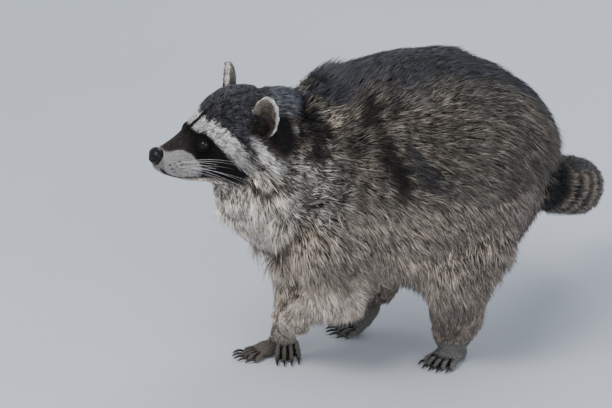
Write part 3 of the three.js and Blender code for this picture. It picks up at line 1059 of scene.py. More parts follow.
def spread(values: Array, mesh: Mesh, rounds: int) -> Array:
    """Evens out values over a mesh, each round by half towards the mean of a vertex's neighbours."""
    edges = np.empty(len(mesh.edges) * 2, np.int32)
    mesh.edges.foreach_get("vertices", edges)
    a, b = edges.reshape(-1, 2).T
    count = np.bincount(a, minlength=len(values)) + np.bincount(b, minlength=len(values))
    count = np.maximum(count, 1)[:, None]
    for _ in range(rounds):
        total = np.stack(
            [
                np.bincount(a, column[b], len(values)) + np.bincount(b, column[a], len(values))
                for column in values.T
            ],
            axis=1,
        )
        values = (values + total / count) / 2
    return values


@dataclass
class Surface:
    """The skin as arrays: its triangles and, at each vertex, place, normal, how the coat lies and the painted
    shade between the toes.
    """

    body: Array
    normal: Array
    triangles: Array
    regions: Array
    sides: Array
    lies: Array
    shade: Array


# ---- skin ----


@dataclass
class EyeShape:
    """An eyeball and the opening between its lids, in millimetres and degrees."""

    side: int
    radius: float = 8.4
    gaze: Triple = (0.72, -0.62, 0.30)
    corner: Triple = (0.55, 0.80, 0.12)
    half_width: float = 41.0
    half_height: float = 27.0
    roundness: float = 1.7

    @property
    def centre(self) -> Array:
        """The middle of the eyeball, in the head's frame."""
        return PLACES.to_head(PLACES.eyes[self.side][None])[0]

    @property
    def axes(self) -> Array:
        """Rows in the head's frame: towards the outer corner, up, and along the gaze."""
        flip = np.array([self.side, 1.0, 1.0])
        gaze = unit(np.array(self.gaze) * flip)
        outer = np.array(self.corner) * flip
        outer = unit(outer - gaze * (outer @ gaze))
        upper = np.cross(gaze, outer) * self.side
        return np.array([outer, upper * np.sign(upper[2]), gaze])

    @property
    def turns_right(self) -> bool:
        """Whether the eye's own axes are right-handed."""
        outer, upper, gaze = self.axes
        return float(np.cross(outer, upper) @ gaze) > 0

    def angles(self, head: Array) -> Array:
        """Degrees between the gaze and the directions of places from the middle of the eye."""
        return np.degrees(np.arccos(np.clip(unit(head - self.centre) @ self.axes[2], -1, 1)))

    def rim(self, around: Array) -> Array:
        """Degrees from the gaze to the edge of the lids, for angles around it from the outer corner."""
        wide = np.abs(np.cos(around)) / self.half_width
        high = np.abs(np.sin(around)) / self.half_height
        return (wide**self.roundness + high**self.roundness) ** (-1 / self.roundness)

    def point(self, around: Array, degrees: Array, lift: Array) -> Array:
        """Places round the eye, in the head's frame, at angles around and away from the gaze."""
        away = np.radians(degrees)
        flat = np.sin(away)
        local = np.stack([np.cos(around) * flat, np.sin(around) * flat, np.cos(away)], axis=-1)
        return self.centre + (local * (self.radius + lift)[..., None]) @ self.axes


NAPE = np.array([0.0, -106.0, 231.0])  # a place on the plane where the neck meets the trunk
NAPE_WAY = np.array([0.0, -0.9, 0.436])


@dataclass
class Skin:
    """The one skin under the whole coat, with the lids of the eyes.

    The body is coarse. It dives under the finer skin of the head and paws, whose own far ends dive under it.
    """

    body_voxel: float = 4.4
    head_voxel: float = 2.15
    paw_voxel: float = 1.15
    ear_voxel: float = 1.1
    wrist_reach: float = 24.0
    nape_reach: float = -46.0
    # Rows of the lids, outside and then inside: degrees beyond their edge and height over the eyeball.
    lid_rows: tuple = ((0, -0.4), (-1, 0.35), (2, 0.95), (7, 1.25), (16, 1.25), (30, 0.7), (48, -1.2))
    grow: float = 0.4  # how far each solid grows, so that neighbours overlap
    ear_grow: float = 0.2
    # Rounds of smoothing, of filling and of evening out the depth; the ears aren't filled.
    body_rounds: tuple = (16, 70, 14)
    head_rounds: tuple = (12, 120, 8)
    paw_rounds: tuple = (5, 160, 3)
    ear_rounds: tuple = (6, 2)
    lid_turns: int = 72
    lid_back: tuple = ((48, -2.6), (2, -1.4))
    under_way: Triple = (0.0, 0.6, -0.8)  # the way the forearm's underside faces
    under_depth: float = 7.0
    under_reach: Pair = (75, 25)
    lip_groove: Pair = (1.4, 1.6)  # depth and half width
    # Swellings of the head and the nape: middle and reach along y and z, and height.
    whisker_pad: tuple = ((-34, 9), (-25, 7), 1.1)
    brow_ridge: tuple = ((-1, 6), (11, 4), 0.9)
    nape_rise: tuple = ((-88, 15), (280, 298), 6.0)  # here z is where it begins and is full
    ear_depth: float = 6.0
    blunt_least: float = -5.5  # how far the blunt ends of the fore limbs are rounded off
    # the share of the coat's colours that the skin keeps, darkened as painted shadow under the coat
    shadowed_share: float = 0.62
    # Painted shade between the toes: how much darker the hollows are painted, how hollow a place must be, and
    # the distances from the claws where it begins and is full.
    toe_painted_shade: float = 0.97
    toe_hollow: float = 0.28
    toe_reach: Pair = (28, 21)
    bare_reach: float = 26.0  # how far from the claws the lie of the hair keeps its detail
    piece: Piece | None = field(default=None, init=False)

    def build(self, anatomy: Anatomy) -> Surface:
        """Makes the skin's object.

        Args:
            anatomy: says how deep the skin lies.

        Returns:
            The skin as arrays, for the coat.
        """
        body = [node for node in FLESH if region_of(node) is not Region.EAR]
        front = ["head", "neck", "trunk", "eye_left", "eye_right"]
        parts = [self.part(body, self.body_voxel, self.body_rounds, anatomy, self.body_dive)]
        head = self.part(front, self.head_voxel, self.head_rounds, anatomy, self.head_dive)
        self.carve(head)
        parts.append(self.shortened(head, NAPE + NAPE_WAY * self.nape_reach, NAPE_WAY))
        for node in FLESH:
            region = region_of(node)
            if region in PAWS:
                limb = LIMBS["fore" if region is Region.FOREPAW else "hind"][1]
                nodes = [node, f"{limb.value}_{node.split('_')[1]}"]
                paw = self.part(nodes, self.paw_voxel, self.paw_rounds, anatomy, self.paw_dive)
                way = anatomy.ways[limb, side_of(node)]
                parts.append(self.shortened(paw, self.wrist(paw, anatomy, way), way))
            elif region is Region.EAR:
                ear = remeshed(merged_solids([node], self.ear_grow), self.ear_voxel, self.ear_rounds[0])
                parts.append(self.inset(ear, anatomy, self.ear_rounds[1]))
        self.piece = linked("skin", self.united(parts))
        self.add_lids()
        return self.surface(anatomy)

    def part(self, nodes: list[str], voxel: float, rounds: tuple, anatomy: Anatomy, dive) -> Mesh:
        """Makes the skin of some solids, whose creases are filled and which lies under the coat.

        Args:
            nodes: names of the solids.
            voxel: size of the faces.
            rounds: of smoothing, of filling and of evening out the depth.
            anatomy: says how deep the skin lies.
            dive: how much deeper it lies, as inset takes it.

        Returns:
            The closed mesh.
        """
        smoothing, filling, evening = rounds
        whole = remeshed(merged_solids(nodes, self.grow), voxel, smoothing)
        return self.inset(self.filled(whole, filling), anatomy, evening, dive)

    @staticmethod
    def ahead(body: Array) -> Array:
        """Distance of places ahead of the plane where the neck meets the trunk."""
        return (body - NAPE) @ NAPE_WAY

    def body_dive(self, body: Array, regions: Array, from_paws: Array) -> Array:
        """How much deeper the coarse body lies under the head and the paws."""
        front = step(self.ahead(body), -30, -16)
        lower = np.isin(regions, [Region.FOREARM, Region.SHANK]) * step(from_paws, 15, 5)
        y, z = body[:, 1], body[:, 2]
        rump = step(y, 115, 160) * step(z, 260, 215) * step(z, 70, 110)
        rump = rump * np.isin(regions, [Region.TRUNK, Region.THIGH])
        return 3.5 * front + 2.2 * lower + 2.2 * np.isin(regions, PAWS) + 11.0 * rump

    def head_dive(self, body: Array, regions: Array, from_paws: Array) -> Array:
        """How much deeper the rear end of the head's skin lies."""
        return 6.0 * step(self.ahead(body), -24, -40)

    def paw_dive(self, body: Array, regions: Array, from_paws: Array) -> Array:
        """How much deeper the upper end of a paw's skin lies."""
        return 5.0 * step(from_paws, 8, 20)

    def inset(self, mesh: Mesh, anatomy: Anatomy, rounds: int, dive=None) -> Mesh:
        """Moves a mesh inward by the depth of the coat.

        Args:
            mesh: the mesh to move.
            anatomy: says how deep the skin lies.
            rounds: how much the depth is evened out.
            dive: further depth, from places, regions and distances from the paws.

        Returns:
            The same mesh.
        """
        metres, body, normal = places_of(mesh)
        regions, sides = anatomy.look_up(metres)
        depth = spread(anatomy.lies(body, regions, sides)[:, 3:4], mesh, rounds)[:, 0]
        if dive:
            from_paws = anatomy.from_paws(body)
            depth = depth + dive(body, regions, from_paws)
            under = step(normal @ np.array(self.under_way), 0.1, 0.8) * (regions == Region.FOREARM)
            under = (under * step(from_paws, *self.under_reach))[:, None]
            depth = depth + self.under_depth * spread(under, mesh, 6)[:, 0]
        moved_to(mesh, metres - normal * (depth * MM)[:, None])
        return mesh

    def wrist(self, mesh: Mesh, anatomy: Anatomy, way: Array) -> Array:
        """A place in the body's frame on the plane where a paw's skin ends, across the limb's way."""
        _, body, _ = places_of(mesh)
        near = anatomy.from_paws(body) < self.wrist_reach
        return way * (body[near] @ way).min()

    @staticmethod
    def shortened(mesh: Mesh, place: Array, way: Array) -> Mesh:
        """Cuts off what lies behind a plane, and closes the cut.

        Args:
            mesh: a closed mesh.
            place: a place on the plane, in the body's frame.
            way: the plane's normal, towards what is kept.

        Returns:
            The same mesh.
        """
        shape = bmesh.new()
        shape.from_mesh(mesh)
        everything = shape.verts[:] + shape.edges[:] + shape.faces[:]
        plane = Vector(PLACES.to_metres(place))
        bmesh.ops.bisect_plane(shape, geom=everything, plane_co=plane, plane_no=Vector(way), clear_inner=True)
        bmesh.ops.holes_fill(shape, edges=[edge for edge in shape.edges if edge.is_boundary], sides=0)
        shape.to_mesh(mesh)
        shape.free()
        return mesh

    def filled(self, mesh: Mesh, rounds: int) -> Mesh:
        """Fills the creases between parts, but not between the toes, and rounds off the blunt fore limbs."""
        metres, body, normal = places_of(mesh)
        outward = ((spread(metres, mesh, rounds) - metres) * normal).sum(1)
        throat = step(body[:, 1], -80, -110) * step(body[:, 2], 270, 230)
        away = from_claws(body)
        least = self.blunt_least * MM * step(away, 30, 42) * step(away, 95, 70) * step(body[:, 1], -55, -75)
        outward = np.maximum(outward, least) * (1 - 0.8 * throat) * step(away, 18, 27)
        moved_to(mesh, metres + normal * outward[:, None])
        return mesh

    def carve(self, mesh: Mesh) -> None:
        """Adds the lips' groove, the pads of the whiskers and the ears' hollows to the head's skin."""
        metres, body, normal = places_of(mesh)
        head = PLACES.to_head(body)
        x, y, z = head.T
        lip, _ = line_distance(head[:, 1:], HeadMarks.lip_line)
        depth, half = self.lip_groove
        groove = bell((lip, 0, half)) * step(np.abs(x), 1, 4) * depth
        pad, brow = (
            bell((y, *along), (z, *up)) * height for along, up, height in (self.whisker_pad, self.brow_ridge)
        )
        hollow = self.ear_depth * sum(ear.hollow(head) for ear in EARS.values())
        along, up, height = self.nape_rise
        nape = height * bell((body[:, 1], *along)) * step(body[:, 2], *up)
        moved_to(mesh, metres + normal * ((pad + brow + nape - groove - hollow) * MM)[:, None])

    @staticmethod
    def united(parts: list[Mesh]) -> Mesh:
        """Joins closed meshes into one closed surface."""
        base = linked("skin_base", parts[0])
        others = [linked(f"skin_part_{i}", part) for i, part in enumerate(parts[1:])]
        for other in others:
            join = base.modifiers.new("join", "BOOLEAN")
            join.operation = "UNION"
            join.solver = "MANIFOLD"
            join.object = other
        mesh = baked(base)
        metres = array_of(mesh.vertices, "co", 3)
        metres[:, 2] = np.maximum(metres[:, 2], SKIN_GAP * MM)
        moved_to(mesh, metres)
        for other in others:
            bpy.data.objects.remove(other)
        return mesh

    def add_lids(self) -> None:
        """Adds the lids of both eyes to the skin, as shells round the eyeballs."""
        whole = bmesh.new()
        whole.from_mesh(self.piece.data)
        around = np.linspace(0, 2 * math.pi, self.lid_turns, endpoint=False)
        for side in SIDES:
            eye = EyeShape(side)
            rings = []
            for more, lift in (*self.lid_rows, *self.lid_back):
                lifts = np.full(self.lid_turns, lift)
                places = PLACES.to_metres(PLACES.from_head(eye.point(around, eye.rim(around) + more, lifts)))
                rings.append([whole.verts.new(place) for place in places])
            for ring, beyond in zip(rings, rings[1:] + rings[:1]):
                for i, j in zip(range(self.lid_turns), [*range(1, self.lid_turns), 0]):
                    corners = [ring[i], ring[j], beyond[j], beyond[i]]
                    whole.faces.new(corners if eye.turns_right else corners[::-1])
        whole.to_mesh(self.piece.data)
        whole.free()
        self.piece.data.update()

    def surface(self, anatomy: Anatomy) -> Surface:
        """Reads the finished skin as arrays, and paints it, with painted shade under the coat and between the
        toes.
        """
        mesh = self.piece.data
        mesh.calc_loop_triangles()
        triangles = np.empty(len(mesh.loop_triangles) * 3, np.int32)
        mesh.loop_triangles.foreach_get("vertices", triangles)
        metres, body, normal = places_of(mesh)
        regions, sides = anatomy.look_up(metres)
        lies = anatomy.lies(body, regions, sides)
        paws, away = np.isin(regions, PAWS), from_claws(body)
        fine = (regions == Region.EAR) | (paws & (away < self.bare_reach))
        lies = np.where(fine[:, None], spread(lies, mesh, 4), spread(lies, mesh, 60))
        # Painted shade: the paws are darkened where the skin is hollow, between the toes near the claws.
        hollow = ((spread(body, mesh, 12) - body) * normal).sum(1)
        shade = 1 - self.toe_painted_shade * step(hollow, 0.0, self.toe_hollow) * paws * step(away, *self.toe_reach)
        tint = MARKINGS.coat(body, regions, sides)
        LOG.info("skin: %d vertices, %d triangles", len(body), len(triangles) // 3)
        # Painted shadow: the skin takes the coat's colours darkened as if shaded by the coat, and darker still
        # between the toes.
        tint[:, :3] *= (self.shadowed_share * shade)[:, None]
        store(mesh, TINT, "FLOAT_COLOR", "color", tint)
        normal = np.where(fine[:, None], normal, unit(spread(normal, mesh, 10)))
        return Surface(body, normal, triangles.reshape(-1, 3), regions, sides, lies, shade)

    def dress(self, material: Material) -> None:
        """Gives the skin its finish and its body, and lets it stand for the solids of flesh."""
        finish_piece(self.piece, material, "leg_coat", *FLESH)


# ---- coat ----


@dataclass(frozen=True)
class Patch:
    """One piece of the coat: which part of the body it covers, how many locks it has and their make."""

    name: str
    slot: str
    regions: tuple[Region, ...]
    locks: int
    width: float
    clump: float
    seed: int
    low: float = -1e3
    high: float = 1e3
    half: int = 0
    front: bool | None = None


FACE_EDGE = 10.0  # how far behind the eyes the fine coat of the face reaches
PATCHES = (
    Patch("coat_back", "back_coat", (Region.TRUNK,), 30000, 1.5, 4.5, 11, low=262),
    Patch("coat_flank_left", "back_coat", (Region.TRUNK,), 32500, 1.45, 4.5, 12, low=150, high=262, half=1),
    Patch("coat_flank_right", "back_coat", (Region.TRUNK,), 28000, 1.5, 4.5, 13, low=150, high=262, half=-1),
    Patch("coat_belly", "back_coat", (Region.TRUNK,), 15000, 1.5, 4.5, 14, high=150),
    Patch("coat_neck", "neck_coat", (Region.NECK,), 25000, 1.25, 4.5, 15),
    Patch("coat_head", "face_coat", (Region.HEAD,), 23000, 0.95, 3.5, 16, front=False),
    Patch("coat_face", "face_coat", (Region.HEAD,), 20000, 0.55, 2.5, 17, front=True),
    Patch("coat_ears", "ear_coat", (Region.EAR,), 7500, 0.5, 2.5, 18),
    Patch("coat_arms", "leg_coat", (Region.UPPERARM, Region.FOREARM), 23000, 1.3, 5, 19),
    Patch("coat_thighs", "leg_coat", (Region.THIGH, Region.SHANK), 22000, 1.35, 5, 20),
    Patch("coat_paws", "foot_coat", (Region.FOREPAW, Region.HINDFOOT), 11000, 0.6, 2.5, 21),
    Patch("coat_tail", "tail_coat", (Region.TAIL,), 13000, 1.3, 5, 22),
)
EDGE_TURNS = (90.0, 210.0, 330.0)  # degrees round a lock of its three edges
FLATNESS = 0.55  # a lock's thickness as a share of its width
TAPER = 2.2
SINGLE_SWELL = 1.1  # how much wider the one ring of a short lock is


@dataclass
class Locks:
    """The locks of one piece of coat, as arrays with a row for each lock."""

    root: Array
    normal: Array
    along: Array
    length: Array
    height: Array
    width: Array
    sag: Array
    bend: Array
    tint: Array
    luck: Array
    group: Array

    def centre(self, share: float) -> Array:
        """The locks' middle lines at a share of their length, in the body's frame."""
        run = np.sqrt(np.maximum(self.length**2 - self.height**2, (0.3 * self.length) ** 2))
        rise = math.sin(min(share * 1.25, 1.0) * math.pi / 2)
        place = self.root + self.along * (run * share)[:, None] + self.normal * (self.height * rise)[:, None]
        place = place + self.bend * share**2
        place[:, 2] -= self.sag * share**2
        return place

    def unwrapped(self) -> Array:
        """The places of the roots on an unwrap of the skin: each limb is unrolled round its own axis."""
        flat = np.zeros((len(self.root), 2))
        groups = np.unique(self.group)
        margin = 2 * MAP_PATCH
        for number, group in enumerate(groups):
            chosen = self.group == group
            place = self.root[chosen] - self.root[chosen].mean(0)
            _, axes = np.linalg.eigh(place.T @ place)
            first, second, along = (place @ axes[:, i] for i in (0, 1, 2))
            turn = np.arctan2(first, second) / (2 * math.pi) + 0.5
            run = (along - along.min()) / max(float(np.ptp(along)), 1e-6)
            flat[chosen, 0] = (number + margin + turn * (1 - 3 * margin)) / len(groups)
            flat[chosen, 1] = margin + run * (1 - 3 * margin)
        return flat

    def mesh(self, name: str, rings: int = 1) -> Mesh:
        """One closed three-sided spindle for each lock, pointed at both ends, joined into one mesh.

        Args:
            name: name of the mesh.
            rings: how many rings of three corners a spindle has between its ends.

        Returns:
            The mesh, with its map and attributes.
        """
        count = len(self.root)
        across = unit(np.cross(self.along, self.normal))
        shares = [0.0, *np.linspace(0.0, 1.0, rings + 2)[1:-1] ** 1.1, 1.0]
        points = [self.root]
        for share in shares[1:-1]:
            middle = self.centre(share)
            half = self.width * (1 - share**TAPER) * (SINGLE_SWELL if rings == 1 else 1.0) / 2
            for degrees in EDGE_TURNS:
                side = across * (half * math.cos(math.radians(degrees)))[:, None]
                up = self.normal * (half * FLATNESS * math.sin(math.radians(degrees)))[:, None]
                points.append(middle + side + up)
        points.append(self.centre(1.0))
        places = PLACES.to_metres(np.stack(points, axis=1))
        places[..., 2] = np.maximum(places[..., 2], FLOOR_GAP * MM)
        per_lock = places.shape[1]
        faces, face_map = self.pattern(rings)
        mesh = bpy.data.meshes.new(name)
        mesh.vertices.add(count * per_lock)
        mesh.vertices.foreach_set("co", places.reshape(-1).astype(np.float32))
        corners = faces.ravel() + (np.arange(count) * per_lock)[:, None]
        mesh.loops.add(corners.size)
        mesh.loops.foreach_set("vertex_index", corners.ravel().astype(np.int32))
        mesh.polygons.add(count * len(faces))
        mesh.polygons.foreach_set("loop_start", np.arange(0, corners.size, 3, dtype=np.int32))
        layer = mesh.uv_layers.new(name=BAKE_MAP)
        flat = self.unwrapped()[:, None, :] + face_map.reshape(1, -1, 2) * MAP_PATCH
        layer.uv.foreach_set("vector", flat.reshape(-1).astype(np.float32))
        store(mesh, TINT, "FLOAT_COLOR", "color", np.repeat(self.tint, per_lock, axis=0))
        along = np.concatenate([[0.0], np.repeat(shares[1:-1], 3), [1.0]])
        luck = np.repeat(self.luck, per_lock, axis=0)
        strand = np.concatenate([np.tile(along, count)[:, None], luck], axis=1)
        store(mesh, STRAND, "FLOAT_VECTOR", "vector", strand)
        mesh.update(calc_edges=True)
        mesh.validate()
        return mesh

    @staticmethod
    def pattern(rings: int) -> tuple[Array, Array]:
        """The triangles of one spindle, and their places on its patch of the map.

        Args:
            rings: how many rings the spindle has between its ends.

        Returns:
            The corners of each triangle, then the map's place of each corner.
        """
        faces, places = [], []
        tip, rise = 3 * rings + 1, 1 / (rings + 1)
        for j in range(3):
            n = (j + 1) % 3
            left, right = j / 3, (j + 1) / 3
            faces.append((0, 1 + j, 1 + n))
            places.append((((left + right) / 2, 0.0), (left, rise), (right, rise)))
            for k in range(rings - 1):
                a, b, low, high = 1 + 3 * k, 4 + 3 * k, (k + 1) * rise, (k + 2) * rise
                faces += [(a + j, b + j, b + n), (a + j, b + n, a + n)]
                places.append(((left, low), (left, high), (right, high)))
                places.append(((left, low), (right, high), (right, low)))
            last = 3 * rings - 2
            faces.append((last + j, tip, last + n))
            places.append(((left, 1 - rise), ((left + right) / 2, 1.0), (right, 1 - rise)))
        return np.array(faces), np.array(places)


class Coat:
    """The fur: locks of hair over the skin, in pieces."""

    lid_clear = 5.0  # degrees of bare lid beyond its edge
    lid_reach = 2.5
    ball_inset = 0.3
    sole_facing = -0.55  # how far down a sole faces
    sole_height = 22.0
    swirls = ((13, 110, 6), (10, 38, 8))  # degrees of each wave in the lie, its size and its seed
    cell_turn = 34.0
    lock_turn = 26.0
    hang = 0.5  # how far the longest hair may point away from the skin
    hang_length = (46, 56)
    gather = 0.55  # how far tips are drawn to the middle of their clump
    # The least length, height and width of a lock, and how much its clump and its luck add.
    length_spread = (0.72, 0.3, 0.26)
    height_spread = (0.65, 0.2, 0.35)
    width_spread = (0.7, 0.6)
    # Where hair stands up behind the head, and how much longer and higher it is there.
    ruff_behind = ((-98, -82), (-40, -68))
    ruff_front = (-131, 7, 1.2)
    ruff_height = (268, 290)
    ruff_across = (62, 25)
    ruff_length = 0.3
    ruff_rise = 0.75
    eye_trim = (0.22, 1.0)
    eye_reach = (9, 18)
    ear_trim = 0.7

    def __init__(self, skin: Surface) -> None:
        """Keeps the skin and works out its triangles' sizes.

        Args:
            skin: the finished skin as arrays.
        """
        self.skin = skin
        corners = skin.body[skin.triangles]
        self.middle = corners.mean(1)
        first, second = corners[:, 1] - corners[:, 0], corners[:, 2] - corners[:, 0]
        self.area = np.linalg.norm(np.cross(first, second), axis=1) / 2
        self.first = skin.triangles[:, 0]
        self.region = skin.regions[self.first]
        self.length = skin.lies[self.first, 4]
        self.bare = self.bare_places()

    def bare_places(self) -> Array:
        """Which triangles have no hair: lids' edges, soles, tiny ones, and what lies inside the eyeballs and
        the nose.
        """
        head = PLACES.to_head(self.middle)
        bare = self.area < 1e-6
        for side in SIDES:
            eye = EyeShape(side)
            local = (head - eye.centre) @ eye.axes.T
            around = np.arctan2(local[:, 1], local[:, 0])
            away = np.linalg.norm(local, axis=1)
            lid = away < eye.radius + self.lid_reach
            bare |= lid & (eye.angles(head) < eye.rim(around) + self.lid_clear)
            bare |= away < eye.radius - self.ball_inset
        normals = self.skin.normal[self.first]
        sole = np.isin(self.region, PAWS) & (normals[:, 2] < self.sole_facing)
        bare |= sole & (self.middle[:, 2] < self.sole_height)
        nose = np.linalg.norm((head - Nose.centre) / Nose.radii, axis=1) < 1.0
        return bare | nose

    def covers(self, patch: Patch) -> Array:
        """Which triangles of the skin a piece of coat grows from."""
        chosen = np.isin(self.region, list(patch.regions)) & ~self.bare
        chosen &= (self.middle[:, 2] > patch.low) & (self.middle[:, 2] <= patch.high)
        if patch.half:
            chosen &= self.middle[:, 0] * patch.half > 0
        if patch.front is not None:
            chosen &= (PLACES.to_head(self.middle)[:, 1] < FACE_EDGE) == patch.front
        return np.nonzero(chosen)[0]

    def planted(self, patch: Patch, count: int, rng: np.random.Generator) -> tuple[Array, Array]:
        """Picks where the locks of one piece grow: evenly, and closer together where the hair is short.

        Args:
            patch: the piece.
            count: how many locks it has.
            rng: source of the random draws.

        Returns:
            For each lock the corners of its triangle, and their shares in its root.
        """
        faces = self.covers(patch)
        weight = self.area[faces] * (10.0 / np.maximum(self.length[faces], 2.0)) ** 0.5
        total = np.cumsum(weight)
        picks = (np.arange(count) + rng.random(count)) / count * total[-1]
        chosen = faces[np.minimum(np.searchsorted(total, picks), len(faces) - 1)]
        u, v = rng.random((2, count))
        over = u + v > 1
        u, v = np.where(over, 1 - u, u), np.where(over, 1 - v, v)
        return self.skin.triangles[chosen], np.stack([1 - u - v, u, v], axis=1)[:, :, None]

    def locks(self, patch: Patch, share: float) -> Locks:
        """Makes the locks of one piece.

        Args:
            patch: the piece.

        Returns:
            The locks as arrays.
        """
        rng = np.random.default_rng(patch.seed)
        count = int(patch.locks * share)
        corners, shares = self.planted(patch, count, rng)
        regions, sides = self.skin.regions[corners[:, 0]], self.skin.sides[corners[:, 0]]
        root, normal, lies, shade = (
            (values[corners] * shares).sum(1)
            for values in (self.skin.body, self.skin.normal, self.skin.lies, self.skin.shade[:, None])
        )
        normal = unit(normal)
        way, depth, reach = lies[:, :3], lies[:, 3], lies[:, 4]
        clump = patch.clump
        warped = root + clump * 0.35 * np.stack([ripple(root, clump * 4, k) for k in (1, 2, 3)], axis=1)
        cells = np.floor(warped / clump)
        swirl = sum(degrees * ripple(root, size, seed) for degrees, size, seed in self.swirls)
        swirl = swirl + (chance(cells, 1) - 0.5) * self.cell_turn
        turn = np.radians(swirl + (rng.random(count) - 0.5) * self.lock_turn)
        outward = (way * normal).sum(1)
        hang = self.hang * step(reach, *self.hang_length)
        along = unit(way - normal * (outward - np.clip(outward, 0, hang))[:, None])
        across = np.cross(normal, along)
        along = unit(along * np.cos(turn)[:, None] + across * np.sin(turn)[:, None])
        least, by_cell, by_luck = self.length_spread
        length = reach * (least + by_cell * chance(cells, 2) + by_luck * rng.random(count)) * self.trim(root)
        least, by_cell, by_luck = self.height_spread
        height = least + by_cell * chance(cells, 4) + by_luck * rng.random(count)
        height = np.minimum(depth, 0.75 * length) * height
        bend = ((cells + 0.5) * clump - root) * self.gather
        bend = bend + across * (length * 0.1 * (rng.random(count) - 0.5))[:, None]
        bend -= normal * (bend * normal).sum(1)[:, None]
        least, by_luck = self.width_spread
        width = patch.width * (least + by_luck * rng.random(count)) * np.clip(reach / reach.mean(), 0.6, 1.3)
        luck = np.stack([0.65 * rng.random(count) + 0.35 * chance(cells, seed) for seed in (3, 5)], axis=1)
        ruff = self.ruff(root)
        length, height = length * (1 + self.ruff_length * ruff), height * (1 + self.ruff_rise * ruff)
        seen = root + along * (0.55 * length)[:, None] + normal * (0.6 * height)[:, None]
        tint = MARKINGS.coat(seen, regions, sides)
        # the painted shade between the toes, carried from the skin to the hair
        tint[:, :3] *= shade
        group = sides + 2 * np.isin(regions, LIMBS["hind"])
        sag = 0.1 * length * np.clip(reach / 40, 0, 1)
        root = root - normal * np.minimum(0.5, depth * 0.3)[:, None]
        return Locks(root, normal, along, length, height, width, sag, bend, tint, luck, group)

    def ruff(self, root: Array) -> Array:
        """How much the hair stands up, in the notch behind the head and at its front end."""
        x, y, z = root.T
        begins, ends = self.ruff_behind
        middle, reach, strength = self.ruff_front
        ruff = np.maximum(step(y, *begins) * step(y, *ends), bell((y, middle, reach)) * strength)
        return ruff * step(z, *self.ruff_height) * step(np.abs(x), *self.ruff_across)

    def trim(self, root: Array) -> Array:
        """How much shorter the hair is near the eyes and in the ears, as a share."""
        head = PLACES.to_head(root)
        share = np.ones(len(root))
        for side in SIDES:
            away = np.linalg.norm(head - EyeShape(side).centre, axis=1)
            share = share * between(self.eye_trim, step(away, *self.eye_reach))
            share = share * (1 - self.ear_trim * EARS[side].hollow(head))
        return share

    def build(self, patch: Patch, material: Material, share: float) -> Piece:
        """Makes one piece of the coat and dresses it."""
        locks = self.locks(patch, share)
        piece = linked(patch.name, locks.mesh(patch.name))
        piece.data.materials.append(material)
        piece.data.shade_smooth()
        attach(piece, BODY)
        LOG.info("%s: %d locks", patch.name, len(locks.root))
        return piece


# ---- materials ----


class Finish:
    """A procedural material that is built up node by node."""

    def __init__(self, name: str, roughness: float, **sockets: float | tuple) -> None:
        """Starts a material.

        Args:
            name: its name.
            roughness: of the whole surface.
            sockets: the shader's other constant sockets, by their names with _ for a space.
        """
        self.material = bpy.data.materials.new(name)
        self.material.use_nodes = True
        self.nodes = self.material.node_tree.nodes
        self.links = self.material.node_tree.links
        self.shader = self.nodes["Principled BSDF"]
        self.shader.inputs["Roughness"].default_value = roughness
        for socket, value in sockets.items():
            self.shader.inputs[socket.replace("_", " ")].default_value = value

    def node(self, kind: str, **settings) -> bpy.types.Node:
        """Adds a node and sets its properties."""
        made = self.nodes.new(kind)
        for name, value in settings.items():
            setattr(made, name, value)
        return made

    def feed(self, socket: Socket, value) -> None:
        """Links an output to a socket, or sets the socket's value."""
        if isinstance(value, Socket):
            self.links.new(value, socket)
        else:
            socket.default_value = value

    def math(self, operation: str, *values) -> Socket:
        """Adds a Math node and returns its output."""
        made = self.node("ShaderNodeMath", operation=operation)
        for socket, value in zip(made.inputs, values):
            self.feed(socket, value)
        return made.outputs[0]

    def times(self, first, *values) -> Socket:
        """Multiplies values one after the other."""
        for value in values:
            first = self.math("MULTIPLY", first, value)
        return first

    def plus(self, first, *values) -> Socket:
        """Adds values one after the other."""
        for value in values:
            first = self.math("ADD", first, value)
        return first

    def ramp(self, factor: Socket, *stops: tuple) -> Socket:
        """Adds a colour ramp with stops of (place, grey or colour) and returns its colour."""
        made = self.node("ShaderNodeValToRGB")
        elements = made.color_ramp.elements
        while len(elements) < len(stops):
            elements.new(0.5)
        for element, (place, value) in zip(elements, stops):
            element.position = place
            element.color = (value, value, value, 1) if isinstance(value, float) else (*value, 1)
        self.feed(made.inputs["Fac"], factor)
        return made.outputs["Color"]

    def attribute(self, name: str) -> bpy.types.Node:
        """Adds a node that reads an attribute of the mesh."""
        return self.node("ShaderNodeAttribute", attribute_name=name)

    def noise(self, scale: float, detail: float = 3.0, stretch: tuple | None = None) -> Socket:
        """Adds a noise pattern on object coordinates, per metre, and returns its value."""
        place = self.node("ShaderNodeTexCoord").outputs["Object"]
        if stretch:
            mapping = self.node("ShaderNodeMapping")
            mapping.inputs["Scale"].default_value = stretch
            self.links.new(place, mapping.inputs["Vector"])
            place = mapping.outputs["Vector"]
        made = self.node("ShaderNodeTexNoise")
        made.inputs["Scale"].default_value = scale
        made.inputs["Detail"].default_value = detail
        self.links.new(place, made.inputs["Vector"])
        return made.outputs["Fac"]

    def scaled(self, colour: Socket, value) -> Socket:
        """Multiplies a colour by a value."""
        made = self.node("ShaderNodeVectorMath", operation="SCALE")
        self.links.new(colour, made.inputs[0])
        self.feed(made.inputs["Scale"], value)
        return made.outputs["Vector"]

    def colour(self, socket) -> None:
        """Sets the base colour."""
        self.feed(self.shader.inputs["Base Color"], socket)

    def bump(self, height: Socket, distance: float, strength: float = 1.0) -> None:
        """Roughens the surface by a height in millimetres."""
        made = self.node("ShaderNodeBump")
        made.inputs["Distance"].default_value = distance * MM
        made.inputs["Strength"].default_value = strength
        self.links.new(height, made.inputs["Height"])
        self.links.new(made.outputs["Normal"], self.shader.inputs["Normal"])


